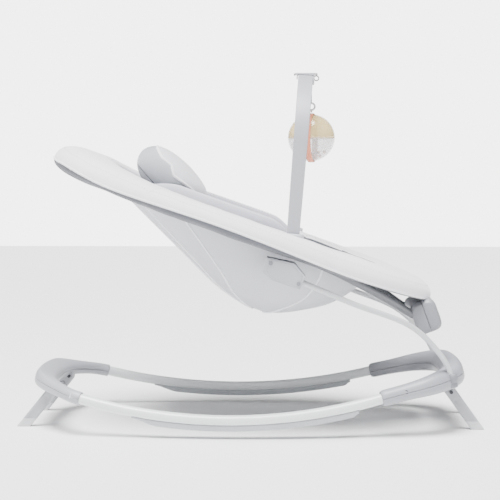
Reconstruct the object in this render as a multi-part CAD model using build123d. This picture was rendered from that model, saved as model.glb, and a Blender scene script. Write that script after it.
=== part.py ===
from build123d import *
import os
from math import asin, atan2, cos, degrees, hypot, radians, sin, sqrt

# Bouncing baby seat on a rocker base, in millimetres. +Z is up, the head end is at -X, the foot
# end at +X, and Y = 0 is the mirror plane. Z = 0 is the floor, with both stands folded out.

# Rocker base: two bent tubes between a head end cap and a foot hub
TUBE_D = 18.0
RAIL_MID_X = -35.0
RAIL_MID_Y = 175.0
RAIL_MID_Z = 31.0
RAIL_RISE = 0.000502
RAIL_INSET = 0.000292
RAIL_HEAD_X = -302.0
RAIL_FOOT_X = 246.0
RUNNER_HEAD_X = -194.0
RUNNER_FOOT_X = 184.0
RUNNER_DEPTH = 9.5
RUNNER_HALF_W = 6.5
TUBE_WALL = 1.5
HEAD_JOINT_X = -282.0
FOOT_JOINT_X = 226.0

# Head end cap and foot hub: U-shaped plastic mouldings, each an upper and a lower shell
CAP_REAR_X = -369.0
CAP_HALF_W = 19.0
CAP_HALF_H = 15.0
CAP_CORNER_R = 102.0
CAP_SLOPE = 0.25
HUB_REAR_X = 361.0
HUB_HALF_W = 20.0
HUB_HALF_H = 17.0
HUB_CORNER_R = 72.0
HUB_SLOPE = 0.24
COLLAR_D = 27.0
COLLAR_L = 24.0
ARM_SPLAY = 0.17
WALL = 2.6

# Stands: two legs and a cross tube on a hinge, folded out under each end of the base
STAND_Y = 76.0
LEG_T = 11.0
LEG_W = 19.0
STAND_PIVOT_Z = 66.0
HEAD_PIVOT_X = -347.0
FOOT_PIVOT_X = 353.0
FOOT_REACH_X = 401.0
PIVOT_PIN_D = 6.0
PIN_CLEARANCE = 0.06
LUG_T = 5.0
LUG_GAP = 0.6
LUG_R = 8.5
PAD_H = 14.0
CROSS_D = 9.0
CROSS_OFFSET = 20.0

# Spring wires: the bounce hinge stands where they leave the hub
WIRE_D = 9.6
WIRE_SOCKET_D = 15.0
WIRE_SOCKET_TOP = (350.6, 124.8, 93.0)
WIRE_ROUTE = [
    (352, 124, 82),
    (350, 125, 96),
    (326, 134, 141),
    (272, 147, 191),
    (178, 163, 228),
    (96, 172, 263),
    (52, 174, 281),
]

# Seat: its plane runs from the head tip down to the foot tip
HEAD_TIP = (-355.0, 478.0)
FOOT_TIP = (328.0, 238.0)
RIM_HALF_W = 205.0
RIM_TOP = 27.0
RIM_BOTTOM = -15.0
OPENING_HALF_L = 252.0
OPENING_HALF_W = 127.0
RIM_ROUND = 17.0
FRAME_TUBE_D = 15.0
FRAME_HALF_L = 335.0
FRAME_HALF_W = 178.0
FRAME_DROP = 23.0
PAD_GAP = 0.4

# Sling and lining: ovals given as (height, head X, foot X, half width), in seat axes
BOWL_TOP = -2.0
BOWL_OVALS = [
    (-40, -180, 232, 116),
    (-84, -86, 196, 102),
    (-118, -14, 142, 76),
    (-138, 56, 94, 26),
]
BOWL_MOUTH = (-244, 242, 122)
SLING_T = 3.0
LINER_TOP = -12.0
LINER_T = 9.0
LINER_GAP = 0.5

# Head pillow, as X and Z of the middle of its back edge and of its nose
PILLOW_HALF = (70.0, 84.0, 31.0)
PILLOW_BACK_AT = (-168.0, 480.0)
PILLOW_NOSE_AT = (-98.0, 418.0)

# Side brackets
BRACKET_T = 3.5
BRACKET_Y_OUT = 190.0
BRACKET_Y_IN = 150.0
BRACKET_CORNERS = [(33, 308), (27, 282), (40, 270), (88, 254), (97, 276), (79, 298)]
BRACKET_SCREWS = [(40, 298), (86, 264)]
SCREW_HEAD_D = 6.8
SCREW_HEAD_T = 2.0

# Toy bar, clip, ribbon and ball
BAR_FOOT = (75.0, 324.0)
BAR_LEAN = 4.5
BAR_HALF_SPAN = 155.0
BAR_SHOULDER = 178.0
BAR_RISE = 298.0
BAR_T = 5.0
BAR_W_TOP = 26.0
BAR_W_FOOT = 21.0
BALL_R = 42.0
TOY_X = 109.0
TOY_PIVOT_Z = 610.5
BALL_Z = 512.0
CLIP_W = 30.0
CLIP_EAR_Y = 8.6
CLIP_PIN_D = 3.0
RIBBON_T = 1.4
RIBBON_W = 12.0
LINK_R = 6.0
LINK_T = 3.6
LINK_Z = 568.0
BALL_WALL = 1.6
DIVIDER_T = 1.6
BELT_W = 10.0
BELT_T = 2.2
BEAD_R = 3.0
BEAD_COUNT = 12

# Harness, in seat axes
BUCKLE_AT = (55.0, 0.0, -84.0)
BUCKLE_L = 46.0
BUCKLE_W = 36.0
BUCKLE_T = 13.0
BUTTON_SIDE = 14.0
TONGUE_L = 12.0
WEBBING_W = 25.0
WEBBING_T = 1.8
WAIST_END_Y = 96.0
CROTCH_END_X = 165.0

# Control unit under the foot end of the seat
BOX_CENTRE = (311.0, 196.0)
BOX_TILT = 20.0
BOX_L = 46.0
BOX_H = 58.0
BOX_HALF_W = 66.0
BOX_WALL = 2.4
BATTERY_D = 26.0
BATTERY_L = 50.0
BATTERY_Y = (-34.0, 34.0)
BATTERY_LIFT = -11.0
BUTTON_Y = (-20.0, 20.0)
BUTTON_D = 15.0
BUTTON_LIFT = 10.0
BUTTON_STAND = 2.5
DOOR_T = 2.2
DOOR_L = 88.0
DOOR_W = 22.0
MOTOR_D = 18.0
MOTOR_L = 22.0
MOTOR_LIFT = 14.0
MOTOR_X = -9.0
MOTOR_Y = -34.0
MOTOR_SHAFT_D = 2.0

SEAT_LENGTH = hypot(FOOT_TIP[0] - HEAD_TIP[0], FOOT_TIP[1] - HEAD_TIP[1])
SEAT_PITCH = degrees(atan2(HEAD_TIP[1] - FOOT_TIP[1], FOOT_TIP[0] - HEAD_TIP[0]))
SEAT_MID = ((HEAD_TIP[0] + FOOT_TIP[0]) / 2, (HEAD_TIP[1] + FOOT_TIP[1]) / 2)
RAIL_LEAN = hypot(RAIL_RISE, RAIL_INSET)
RAIL_R = 1 / (2 * RAIL_LEAN)
RAIL_LEAN_Y = RAIL_INSET / RAIL_LEAN
RAIL_LEAN_Z = RAIL_RISE / RAIL_LEAN
SIDES = {"left": 1, "right": -1}

os.makedirs("parts", exist_ok=True)


def write(shape, node):
    export_step(shape, "parts/" + node + ".step")


def cylinder_between(start, end, radius):
    axis = Vector(*end) - Vector(*start)
    plane = Plane(origin=start, z_dir=axis)
    return plane * Cylinder(radius, axis.length, align=(Align.CENTER, Align.CENTER, Align.MIN))


def in_seat(shape):
    """Place a shape drawn in seat axes: X towards the foot end, Z square to the seat plane."""
    return Location((SEAT_MID[0], 0, SEAT_MID[1]), (0, SEAT_PITCH, 0)) * shape


def in_box(shape):
    """Place a shape drawn in the control unit's own axes."""
    return Location((BOX_CENTRE[0], 0, BOX_CENTRE[1]), (0, -BOX_TILT, 0)) * shape


def in_bar(shape):
    """Place a shape drawn in the toy bar's plane: Z up its legs."""
    return Location((BAR_FOOT[0], 0, BAR_FOOT[1]), (0, BAR_LEAN, 0)) * shape


# ---- Rocker base -------------------------------------------------------------------------


def rail_point(x, side):
    """Centre of a rail at a given X: the tube lies on one tilted circle."""
    t = x - RAIL_MID_X
    reach = RAIL_R - sqrt(RAIL_R**2 - t**2)
    return (x, side * (RAIL_MID_Y - reach * RAIL_LEAN_Y), RAIL_MID_Z + reach * RAIL_LEAN_Z)


def rail_sweep(section, head_x, foot_x, side):
    """Turn a section, drawn at the rail's lowest point, about the centre of the rail's circle."""
    middle = Vector(RAIL_MID_X, side * RAIL_MID_Y, RAIL_MID_Z)
    centre = middle + Vector(0, -side * RAIL_LEAN_Y, RAIL_LEAN_Z) * RAIL_R
    axis_dir = Vector(0, side * RAIL_LEAN_Z, RAIL_LEAN_Y)
    head_angle = degrees(asin((RAIL_MID_X - head_x) / RAIL_R))
    foot_angle = degrees(asin((foot_x - RAIL_MID_X) / RAIL_R))
    axis = Axis(centre, axis_dir)
    start = section.rotate(axis, head_angle * side)
    return revolve(start, axis, revolution_arc=-side * (head_angle + foot_angle))


def rail(side):
    plane = Plane(origin=(RAIL_MID_X, side * RAIL_MID_Y, RAIL_MID_Z), z_dir=(1, 0, 0))
    outer = plane * Circle(TUBE_D / 2)
    bore = plane * Circle(TUBE_D / 2 - TUBE_WALL)
    return rail_sweep(outer - bore, RAIL_HEAD_X, RAIL_FOOT_X, side)


def runner(side):
    """Anti-slip strip that hugs the lower side of the rail."""
    y = side * RAIL_MID_Y
    low = RAIL_MID_Z - TUBE_D / 2 - RUNNER_DEPTH
    plane = Plane(origin=(RAIL_MID_X, y, 0), x_dir=(0, 1, 0), z_dir=(1, 0, 0))
    top = RAIL_MID_Z
    block = Pos(0, (low + top) / 2) * RectangleRounded(2 * RUNNER_HALF_W, top - low, 4)
    section = plane * (block - Pos(0, RAIL_MID_Z) * Circle(TUBE_D / 2 + 0.05))
    section = section & (plane * (Pos(0, low) * Rectangle(40, 2 * (RAIL_MID_Z - low) - 4)))
    return rail_sweep(section, RUNNER_HEAD_X, RUNNER_FOOT_X, side)


def u_path(joint_x, rear_x, corner_r, slope, half_y):
    """U-shaped centre line of an end moulding, in its own tilted plane."""
    start_z = rail_point(joint_x, 1)[2]
    run = abs(rear_x - joint_x)
    rear_z = start_z + run * slope
    rear_y = half_y - run * ARM_SPLAY
    points = [(joint_x, -half_y, start_z), (rear_x, -rear_y, rear_z)]
    points += [(rear_x, rear_y, rear_z), (joint_x, half_y, start_z)]
    return FilletPolyline(*points, radius=corner_r)


def u_sweep(line, half_w, half_h):
    """Sweep a flattened round section along a U-shaped line."""
    start = line @ 0
    plane = Plane(origin=start, x_dir=(0, 1, 0), z_dir=line % 0)
    return sweep(plane * Ellipse(half_w, half_h), path=line)


def end_moulding(line, half_w, half_h, joint_x):
    """Hollow U moulding with round collars, split into an upper and a lower shell."""
    body = u_sweep(line, half_w, half_h)
    hollow = u_sweep(line, half_w - WALL, half_h - WALL)
    toward = 1 if (line @ 0.5).X > joint_x else -1
    for side in SIDES.values():
        face = rail_point(joint_x - toward * 4, side)
        deep = rail_point(joint_x + toward * (COLLAR_L - 4), side)
        body += cylinder_between(face, deep, COLLAR_D / 2)
    for side in SIDES.values():
        face = rail_point(joint_x - toward * 8, side)
        deep = rail_point(joint_x + toward * COLLAR_L, side)
        body -= cylinder_between(face, deep, TUBE_D / 2 + 0.6)
    body -= hollow
    return body


def split_by_line(body, line):
    """Cut a moulding into its upper and lower shell along the plane of its centre line."""
    start = line @ 0
    across = Vector(0, 1, 0)
    along = (line @ 0.5) - start
    along = Vector(along.X, 0, along.Z)
    normal = along.cross(across)
    if normal.Z < 0:
        normal = -normal
    plane = Plane(origin=start, z_dir=normal)
    upper = split(body, bisect_by=plane, keep=Keep.TOP)
    lower = split(body, bisect_by=plane, keep=Keep.BOTTOM)
    return upper, lower


def biggest(shape):
    return max(shape.solids(), key=lambda solid: solid.volume)


def stand_lugs(pivot_x, line_z):
    """Pairs of lugs under a moulding, one pair for each stand leg, with bores for the pins."""
    lugs = []
    for side in SIDES.values():
        for offset in (-1, 1):
            y = side * STAND_Y + offset * (LEG_T / 2 + LUG_GAP + LUG_T / 2)
            eye = Pos(pivot_x, y, STAND_PIVOT_Z) * (Rot(90, 0, 0) * Cylinder(LUG_R, LUG_T))
            web_h = line_z - STAND_PIVOT_Z
            web = Pos(pivot_x, y, STAND_PIVOT_Z + web_h / 2) * Box(2 * LUG_R, LUG_T, web_h)
            lugs.append(eye + web)
    return lugs


def pin_bores(pivot_x, radius):
    length = LEG_T + 2 * LUG_T + 2 * LUG_GAP + 2
    bore = Rot(90, 0, 0) * Cylinder(radius, length)
    return [Pos(pivot_x, side * STAND_Y, STAND_PIVOT_Z) * bore for side in SIDES.values()]


def stand_pins(pivot_x):
    length = LEG_T + 2 * LUG_T + 2 * LUG_GAP
    pin = Rot(90, 0, 0) * Cylinder(PIVOT_PIN_D / 2, length)
    return Compound([Pos(pivot_x, side * STAND_Y, STAND_PIVOT_Z) * pin for side in SIDES.values()])


def leg_outline(pivot_x, toward):
    """Side view of a stand leg: round at the hinge, square on the floor."""
    foot_x = toward * FOOT_REACH_X
    slant = atan2(STAND_PIVOT_Z, foot_x - pivot_x)
    half = LEG_W / 2 / sin(abs(slant))
    dx = foot_x - pivot_x
    eye = Pos(pivot_x, STAND_PIVOT_Z) * Circle(LEG_W / 2)
    normal = Vector(STAND_PIVOT_Z, dx).normalized() * (LEG_W / 2)
    corners = [
        (pivot_x + normal.X, STAND_PIVOT_Z + normal.Y),
        (pivot_x - normal.X, STAND_PIVOT_Z - normal.Y),
        (foot_x - half, 0),
        (foot_x + half, 0),
    ]
    shank = make_face(Polyline(*corners, close=True))
    return eye + shank


def leg_clearance(pivot_x, toward):
    """Room for both legs of a stand, folded out and on their way in."""
    outline = Plane.XZ * offset(leg_outline(pivot_x, toward), LUG_GAP + 0.2)
    swing = extrude(outline, LEG_T / 2 + LUG_GAP, both=True)
    return [Pos(0, side * STAND_Y, 0) * swing for side in SIDES.values()]


def stand_leg(pivot_x, toward, side):
    outline = Plane.XZ * leg_outline(pivot_x, toward)
    leg = extrude(outline, LEG_T / 2, both=True)
    above_pad = Pos(0, 0, PAD_H + 250) * Box(2000, 2000, 500)
    leg = leg & above_pad
    leg = Pos(0, side * STAND_Y, 0) * leg
    for bore in pin_bores(pivot_x, PIVOT_PIN_D / 2 + PIN_CLEARANCE):
        leg -= bore
    return leg


def stand_pad(pivot_x, toward, side):
    """Rubber shoe that closes the lower end of a leg."""
    outline = Plane.XZ * leg_outline(pivot_x, toward)
    pad = extrude(outline, LEG_T / 2 + 1, both=True)
    pad = pad & (Pos(0, 0, PAD_H / 2) * Box(2000, 2000, PAD_H))
    return Pos(0, side * STAND_Y, 0) * pad


def stand_cross_tube(pivot_x, toward):
    foot_x = toward * FOOT_REACH_X
    run = hypot(foot_x - pivot_x, STAND_PIVOT_Z)
    x = pivot_x + (foot_x - pivot_x) * CROSS_OFFSET / run
    z = STAND_PIVOT_Z - STAND_PIVOT_Z * CROSS_OFFSET / run
    length = 2 * STAND_Y - LEG_T
    return Pos(x, 0, z) * (Rot(90, 0, 0) * Cylinder(CROSS_D / 2, length))


# ---- Spring wires ------------------------------------------------------------------------


def wire_line(side):
    """Centre line of a spring wire, from its root in the hub to its bracket on the seat."""
    return Spline(*[(x, side * y, z) for x, y, z in WIRE_ROUTE])


def spring_wire(side):
    line = wire_line(side)
    plane = Plane(origin=line @ 0, z_dir=line % 0)
    return sweep(plane * Circle(WIRE_D / 2), path=line)


def wire_socket(side, radius, below, above):
    """Round rod along the root of a spring wire, drawn out by shares of its length."""
    root = wire_line(side) @ 0
    top = Vector(WIRE_SOCKET_TOP[0], side * WIRE_SOCKET_TOP[1], WIRE_SOCKET_TOP[2])
    reach = top - root
    return cylinder_between(tuple(root - reach * below), tuple(top + reach * above), radius)


def wire_sleeve(side):
    """Bush in the hub that grips the root of a spring wire."""
    outer = wire_socket(side, WIRE_SOCKET_D / 2, 0, 0)
    return outer - wire_socket(side, WIRE_D / 2 + 0.35, 1, 1)


def base():
    for name, side in SIDES.items():
        write(rail(side), "base_rail_" + name)
        write(runner(side), "rail_runner_" + name)
    cap_half_y = rail_point(HEAD_JOINT_X, 1)[1]
    cap_line = u_path(HEAD_JOINT_X, CAP_REAR_X, CAP_CORNER_R, CAP_SLOPE, cap_half_y)
    cap = end_moulding(cap_line, CAP_HALF_W, CAP_HALF_H, HEAD_JOINT_X)
    cap_upper, cap_lower = split_by_line(cap, cap_line)
    hub_half_y = rail_point(FOOT_JOINT_X, 1)[1]
    hub_line = u_path(FOOT_JOINT_X, HUB_REAR_X, HUB_CORNER_R, HUB_SLOPE, hub_half_y)
    hub = end_moulding(hub_line, HUB_HALF_W, HUB_HALF_H, FOOT_JOINT_X)
    hub_upper, hub_lower = split_by_line(hub, hub_line)
    for side in SIDES.values():
        bore = wire_socket(side, WIRE_SOCKET_D / 2 + 1.5, 0.2, 3)
        hub_upper -= bore
        hub_lower -= bore
    cap_solid = u_sweep(cap_line, CAP_HALF_W, CAP_HALF_H)
    hub_solid = u_sweep(hub_line, HUB_HALF_W, HUB_HALF_H)
    for lug in stand_lugs(HEAD_PIVOT_X, (cap_line @ 0.5).Z):
        cap_lower += lug - cap_solid
    for lug in stand_lugs(FOOT_PIVOT_X, (hub_line @ 0.5).Z):
        hub_lower += lug - hub_solid
    for bore in pin_bores(HEAD_PIVOT_X, PIVOT_PIN_D / 2 + 0.02):
        cap_lower -= bore
    for bore in pin_bores(FOOT_PIVOT_X, PIVOT_PIN_D / 2 + 0.02):
        hub_lower -= bore
    cap_lower -= leg_clearance(HEAD_PIVOT_X, -1)
    hub_lower -= leg_clearance(FOOT_PIVOT_X, 1)
    write(biggest(cap_upper), "head_cap_upper")
    write(biggest(cap_lower), "head_cap_lower")
    write(biggest(hub_upper), "foot_hub_upper")
    write(biggest(hub_lower), "foot_hub_lower")
    write(Compound([wire_sleeve(side) for side in SIDES.values()]), "wire_sleeves")
    write(stand_pins(HEAD_PIVOT_X), "head_stand_pins")
    write(stand_pins(FOOT_PIVOT_X), "foot_stand_pins")
    for name, side in SIDES.items():
        write(spring_wire(side), "spring_wire_" + name)


def stands():
    for end, pivot_x, toward in (("head", HEAD_PIVOT_X, -1), ("foot", FOOT_PIVOT_X, 1)):
        for name, side in SIDES.items():
            write(stand_leg(pivot_x, toward, side), end + "_stand_leg_" + name)
        pads = [stand_pad(pivot_x, toward, side) for side in SIDES.values()]
        write(Compound(pads), end + "_stand_pads")
        write(stand_cross_tube(pivot_x, toward), end + "_stand_cross_tube")


# ---- Seat shell: frame, padded rim, sling and soft goods ---------------------------------


def frame_line():
    """Hairpin line of the seat frame: an oval under the rim that runs down into the control unit."""
    half = [(0, FRAME_HALF_W, 0), (150, 159, 2), (235, 124, 9), (290, 89, 17), (322, 62, 24)]
    head = [(-110, 168, 0), (-220, 134, 0), (-300, 79, 0)]
    left = [(x, y, -FRAME_DROP - drop) for x, y, drop in reversed(half)]
    left += [(x, y, -FRAME_DROP) for x, y, _ in head]
    tip = [(-FRAME_HALF_L, 0, -FRAME_DROP)]
    right = [(x, -y, z) for x, y, z in reversed(left)]
    return Spline(*left, *tip, *right)


def frame_rod(radius):
    line = frame_line()
    plane = Plane(origin=line @ 0, z_dir=line % 0)
    return in_seat(sweep(plane * Circle(radius), path=line))


def seat_frame_tube():
    """Bent steel tube that carries the rim, the brackets and the control unit."""
    return frame_rod(FRAME_TUBE_D / 2)


def rim_ring():
    """Outer form of the padded collar, in seat axes."""
    outer = Ellipse(SEAT_LENGTH / 2, RIM_HALF_W)
    inner = Ellipse(OPENING_HALF_L, OPENING_HALF_W)
    ring = Pos(0, 0, RIM_BOTTOM) * extrude(outer - inner, RIM_TOP - RIM_BOTTOM)
    flat = [edge for edge in ring.edges() if edge.geom_type == GeomType.ELLIPSE]
    return fillet(flat, RIM_ROUND)


def leg_slot(side):
    """Slot in the collar that a toy bar leg passes through."""
    width = BAR_W_FOOT + 4
    return in_bar(Pos(0, side * BAR_HALF_SPAN, 20) * Box(width, BAR_T + 4, 160))


def rim_pad():
    pad = in_seat(rim_ring())
    for side in SIDES.values():
        pad -= leg_slot(side)
    return pad - box_block(1.0)


def bowl(levels):
    """Loft through ovals given as (height, head X, foot X, half width), in seat axes."""
    ovals = []
    for height, head_x, foot_x, half_w in levels:
        plane = Plane(origin=((head_x + foot_x) / 2, 0, height))
        ovals.append(plane * Ellipse((foot_x - head_x) / 2, half_w))
    return loft(ovals)


def bowl_levels(inset, top):
    """Ovals of the hanging seat, drawn in from the sling's outer face by an inset."""
    head, foot, half = BOWL_MOUTH
    levels = [(top, head + inset, foot - inset, half - inset)]
    for height, head, foot, half in BOWL_OVALS:
        levels.append((height + inset, head + inset, foot - inset, half - inset))
    return levels


def sling():
    """Woven hammock that hangs from the rim: an open bowl."""
    return in_seat(bowl(bowl_levels(0, BOWL_TOP)) - bowl(bowl_levels(SLING_T, BOWL_TOP)))


def seat_liner():
    """Padded lining that lies in the sling."""
    outer = bowl(bowl_levels(SLING_T + LINER_GAP, LINER_TOP))
    inner = bowl(bowl_levels(SLING_T + LINER_GAP + LINER_T, LINER_TOP))
    return biggest(in_seat(outer - inner) - sling())


def head_pillow():
    """Crescent cushion that stands in the head end of the opening."""
    back = Vector(PILLOW_BACK_AT[0], 0, PILLOW_BACK_AT[1])
    nose = Vector(PILLOW_NOSE_AT[0], 0, PILLOW_NOSE_AT[1])
    lean = degrees(atan2(back.Z - nose.Z, nose.X - back.X))
    middle = (back + nose) * 0.5
    cushion = scale(Sphere(1), by=PILLOW_HALF)
    return Location((middle.X, 0, middle.Z), (0, lean, 0)) * cushion


# ---- Control unit ------------------------------------------------------------------------


def box_block(grow):
    """Outer form of the control unit's housing, in the part's axes."""
    size = (BOX_L + 2 * grow, 2 * (BOX_HALF_W + grow), BOX_H + 2 * grow)
    block = Box(*size)
    block = fillet(block.edges().filter_by(Axis.Y), 11 + grow)
    return in_box(block)


def box_hollow():
    size = (BOX_L - 2 * BOX_WALL, 2 * (BOX_HALF_W - BOX_WALL), BOX_H - 2 * BOX_WALL)
    block = Box(*size)
    return in_box(fillet(block.edges().filter_by(Axis.Y), 9))


def control_housing():
    """Front and rear shells of the housing, joined on the box's middle plane."""
    shell = box_block(0) - box_hollow()
    shell -= frame_rod(FRAME_TUBE_D / 2 + PAD_GAP)
    for y in BUTTON_Y:
        bore = Pos(BOX_L / 2, y, BUTTON_LIFT) * (Rot(0, 90, 0) * Cylinder(BUTTON_D / 2 + 0.4, 12))
        shell -= in_box(bore)
    normal = Vector(cos(radians(BOX_TILT)), 0, sin(radians(BOX_TILT)))
    plane = Plane(origin=(BOX_CENTRE[0], 0, BOX_CENTRE[1]), z_dir=normal)
    front = split(shell, bisect_by=plane, keep=Keep.TOP)
    rear = split(shell, bisect_by=plane, keep=Keep.BOTTOM)
    return front, rear


def control_button(y):
    """Push button: a cap that stands out of the front shell, with a flange inside it."""
    inside = BOX_L / 2 - BOX_WALL
    cap_l = BOX_WALL + BUTTON_STAND
    cap = Pos(inside + cap_l / 2, y, BUTTON_LIFT) * (
        Rot(0, 90, 0) * Cylinder(BUTTON_D / 2, cap_l)
    )
    flange = Pos(inside - 1.1, y, BUTTON_LIFT) * (Rot(0, 90, 0) * Cylinder(BUTTON_D / 2 + 2, 1.6))
    stem = Pos(inside - 0.2, y, BUTTON_LIFT) * (Rot(0, 90, 0) * Cylinder(3, 1.6))
    return in_box(cap + flange + stem)


def circuit_board():
    board = Pos(BOX_L / 2 - BOX_WALL - 6, 0, BUTTON_LIFT) * Box(1.6, 84, 22)
    return in_box(board)


def batteries():
    cells = []
    for y in BATTERY_Y:
        cell = Pos(-2, y, BATTERY_LIFT) * (Rot(90, 0, 0) * Cylinder(BATTERY_D / 2, BATTERY_L))
        cells.append(in_box(cell))
    return Compound(cells)


def battery_door():
    plate = Pos(0, 0, -BOX_H / 2 - DOOR_T / 2 - 0.1) * Box(DOOR_W, DOOR_L, DOOR_T)
    return in_box(fillet(plate.edges().filter_by(Axis.Z), 4))


def motor_case():
    bore_r = MOTOR_SHAFT_D / 2 + PIN_CLEARANCE
    case = Pos(MOTOR_X, MOTOR_Y, MOTOR_LIFT) * (Rot(90, 0, 0) * Cylinder(MOTOR_D / 2, MOTOR_L))
    shaft_bore = Pos(MOTOR_X, MOTOR_Y, MOTOR_LIFT) * (Rot(90, 0, 0) * Cylinder(bore_r, MOTOR_L + 2))
    return in_box(case - shaft_bore)


def motor_weight():
    """Half-round weight on the motor's shaft; its spin shakes the seat."""
    shaft_y = MOTOR_Y + 6
    shaft = Rot(90, 0, 0) * Cylinder(MOTOR_SHAFT_D / 2, MOTOR_L + 12)
    shaft = Pos(MOTOR_X, shaft_y, MOTOR_LIFT) * shaft
    half = Rot(90, 0, 0) * Cylinder(7.5, 6)
    half = half & (Pos(0, 0, -10) * Box(30, 30, 20))
    half = Pos(MOTOR_X, MOTOR_Y + 20, MOTOR_LIFT) * half
    return in_box(shaft + half)


# ---- Side brackets and toy bar -----------------------------------------------------------


def bracket_outline():
    """Six-sided plate under the rim, in the part's X and Z."""
    return Polyline(*BRACKET_CORNERS, close=True)


def bracket_plate(side, y_mid):
    face = Plane.XZ * make_face(bracket_outline())
    plate = extrude(face, BRACKET_T / 2, both=True)
    plate = Pos(0, side * y_mid, 0) * plate
    return plate - frame_rod(FRAME_TUBE_D / 2 + 0.1)


def bracket_core(side):
    """Block between the plates: holds the wire's end and the toy bar's foot."""
    face = Plane.XZ * make_face(bracket_outline())
    inner = BRACKET_Y_IN + BRACKET_T / 2
    outer = BRACKET_Y_OUT - BRACKET_T / 2
    block = Pos(0, side * (inner + outer) / 2, 0) * extrude(face, (outer - inner) / 2, both=True)
    block -= bar_leg_room(side)
    block -= frame_rod(FRAME_TUBE_D / 2 + 0.1)
    line = wire_line(side)
    plane = Plane(origin=line @ 0, z_dir=line % 0)
    block -= sweep(plane * Circle(WIRE_D / 2 + 0.1), path=line)
    return block


def bar_leg_room(side):
    room = Pos(0, side * BAR_HALF_SPAN, 78) * Box(BAR_W_FOOT + 0.5, BAR_T + 0.5, 156)
    return in_bar(room)


def bracket_screws():
    screws = []
    y = BRACKET_Y_OUT + BRACKET_T / 2 + SCREW_HEAD_T / 2
    head = Rot(90, 0, 0) * Cylinder(SCREW_HEAD_D / 2, SCREW_HEAD_T)
    for side in SIDES.values():
        for x, z in BRACKET_SCREWS:
            screws.append(Pos(x, side * y, z) * head)
    return Compound(screws)


def toy_bar():
    """Flat strap bent into an arch, wider towards its top."""
    half = BAR_HALF_SPAN
    crown = BAR_RISE - BAR_SHOULDER
    near_leg = Line((-half, 0), (-half, BAR_SHOULDER))
    far_leg = Line((half, BAR_SHOULDER), (half, 0))
    arch = EllipticalCenterArc((0, BAR_SHOULDER), half, crown, arc_size=180.0)
    outline = Curve() + [near_leg, arch, far_leg]
    band = trace(outline, BAR_T)
    strap = extrude(Plane.YZ * band, BAR_W_TOP / 2, both=True)
    taper = [
        (-BAR_W_FOOT / 2, -5),
        (BAR_W_FOOT / 2, -5),
        (BAR_W_TOP / 2, BAR_RISE + 5),
        (-BAR_W_TOP / 2, BAR_RISE + 5),
    ]
    side_view = extrude(Plane.XZ * make_face(Polyline(*taper, close=True)), half + 20, both=True)
    return in_bar(strap & side_view)


def top_clip():
    """Moulded clip over the crown of the toy bar, with a pin that the ribbon hangs from."""
    z = BAR_RISE + BAR_T / 2 + 0.2
    plate = Pos(0, 0, z + 1.2) * Box(BAR_W_TOP + 7, CLIP_W, 2.4)
    for x in (-1, 1):
        plate += Pos(x * (BAR_W_TOP / 2 + 2.0), 0, z - 3) * Box(2.4, CLIP_W, 8)
    clip = in_bar(plate)
    for side in SIDES.values():
        ear = Pos(TOY_X, side * CLIP_EAR_Y, TOY_PIVOT_Z + 3) * Box(10, 2.4, 12)
        clip += ear - in_bar(Pos(0, 0, BAR_RISE) * Box(BAR_W_TOP + 1, 60, BAR_T + 0.4))
    pin = Pos(TOY_X, 0, TOY_PIVOT_Z) * (Rot(90, 0, 0) * Cylinder(CLIP_PIN_D / 2, 2 * CLIP_EAR_Y))
    return clip + pin


def toy_ribbon():
    """Webbing that loops over the clip's pin and carries the link."""
    loop = Rot(90, 0, 0) * Cylinder(CLIP_PIN_D / 2 + 0.1 + RIBBON_T, RIBBON_W)
    loop -= Rot(90, 0, 0) * Cylinder(CLIP_PIN_D / 2 + 0.1, RIBBON_W + 1)
    drop = TOY_PIVOT_Z - LINK_Z - LINK_R - LINK_T / 2 - 0.1
    top = CLIP_PIN_D / 2 + 0.1 + RIBBON_T / 2
    band = Pos(0, 0, -(top + drop) / 2) * Box(RIBBON_T, RIBBON_W, drop - top)
    return Pos(TOY_X, 0, TOY_PIVOT_Z) * (loop + band)


def toy_link():
    """Plastic swivel ring between the ribbon and the ball's belt."""
    ring = Rot(90, 0, 0) * Torus(LINK_R, LINK_T / 2)
    stud = Pos(0, 0, -LINK_R - 2.4) * Cylinder(1.6, 4.4)
    return Pos(TOY_X, 0, LINK_Z) * (ring + stud)


def ball_shell(top):
    """Half of the hollow toy ball."""
    ball = Sphere(BALL_R) - Sphere(BALL_R - BALL_WALL)
    half = Pos(0, 0, (1 if top else -1) * (BALL_R + DIVIDER_T / 2)) * Box(
        3 * BALL_R, 3 * BALL_R, 2 * BALL_R
    )
    return Pos(TOY_X, 0, BALL_Z) * (ball & half)


def ball_divider():
    """Coloured disc clamped between the two half shells."""
    return Pos(TOY_X, 0, BALL_Z) * Cylinder(BALL_R, DIVIDER_T)


def ball_belt():
    """Band round the ball that joins the halves, with an eye for the link's stud."""
    outer = Rot(0, 90, 0) * Cylinder(BALL_R + BELT_T, BELT_W)
    band = outer - Sphere(BALL_R + 0.05)
    boss = Pos(0, 0, BALL_R + BELT_T + 1) * Cylinder(4, 4)
    bore = Pos(0, 0, BALL_R + 4) * Cylinder(1.66, 12)
    boss = boss - Sphere(BALL_R + 0.05)
    return Pos(TOY_X, 0, BALL_Z) * (band + boss - bore)


def ball_beads():
    """Loose rattle beads, lying in the lower half of the ball."""
    beads = []
    rest_r = BALL_R - BALL_WALL - BEAD_R - 0.2
    for index in range(BEAD_COUNT):
        turn = 360.0 / BEAD_COUNT * index
        tilt = 12 + 17 * (index % 3)
        place = Rot(0, 0, turn) * Pos(rest_r * sin(radians(tilt)), 0, -rest_r * cos(radians(tilt)))
        beads.append(Pos(TOY_X, 0, BALL_Z) * (place * Sphere(BEAD_R)))
    return Compound(beads)


# ---- Harness -----------------------------------------------------------------------------


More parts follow.
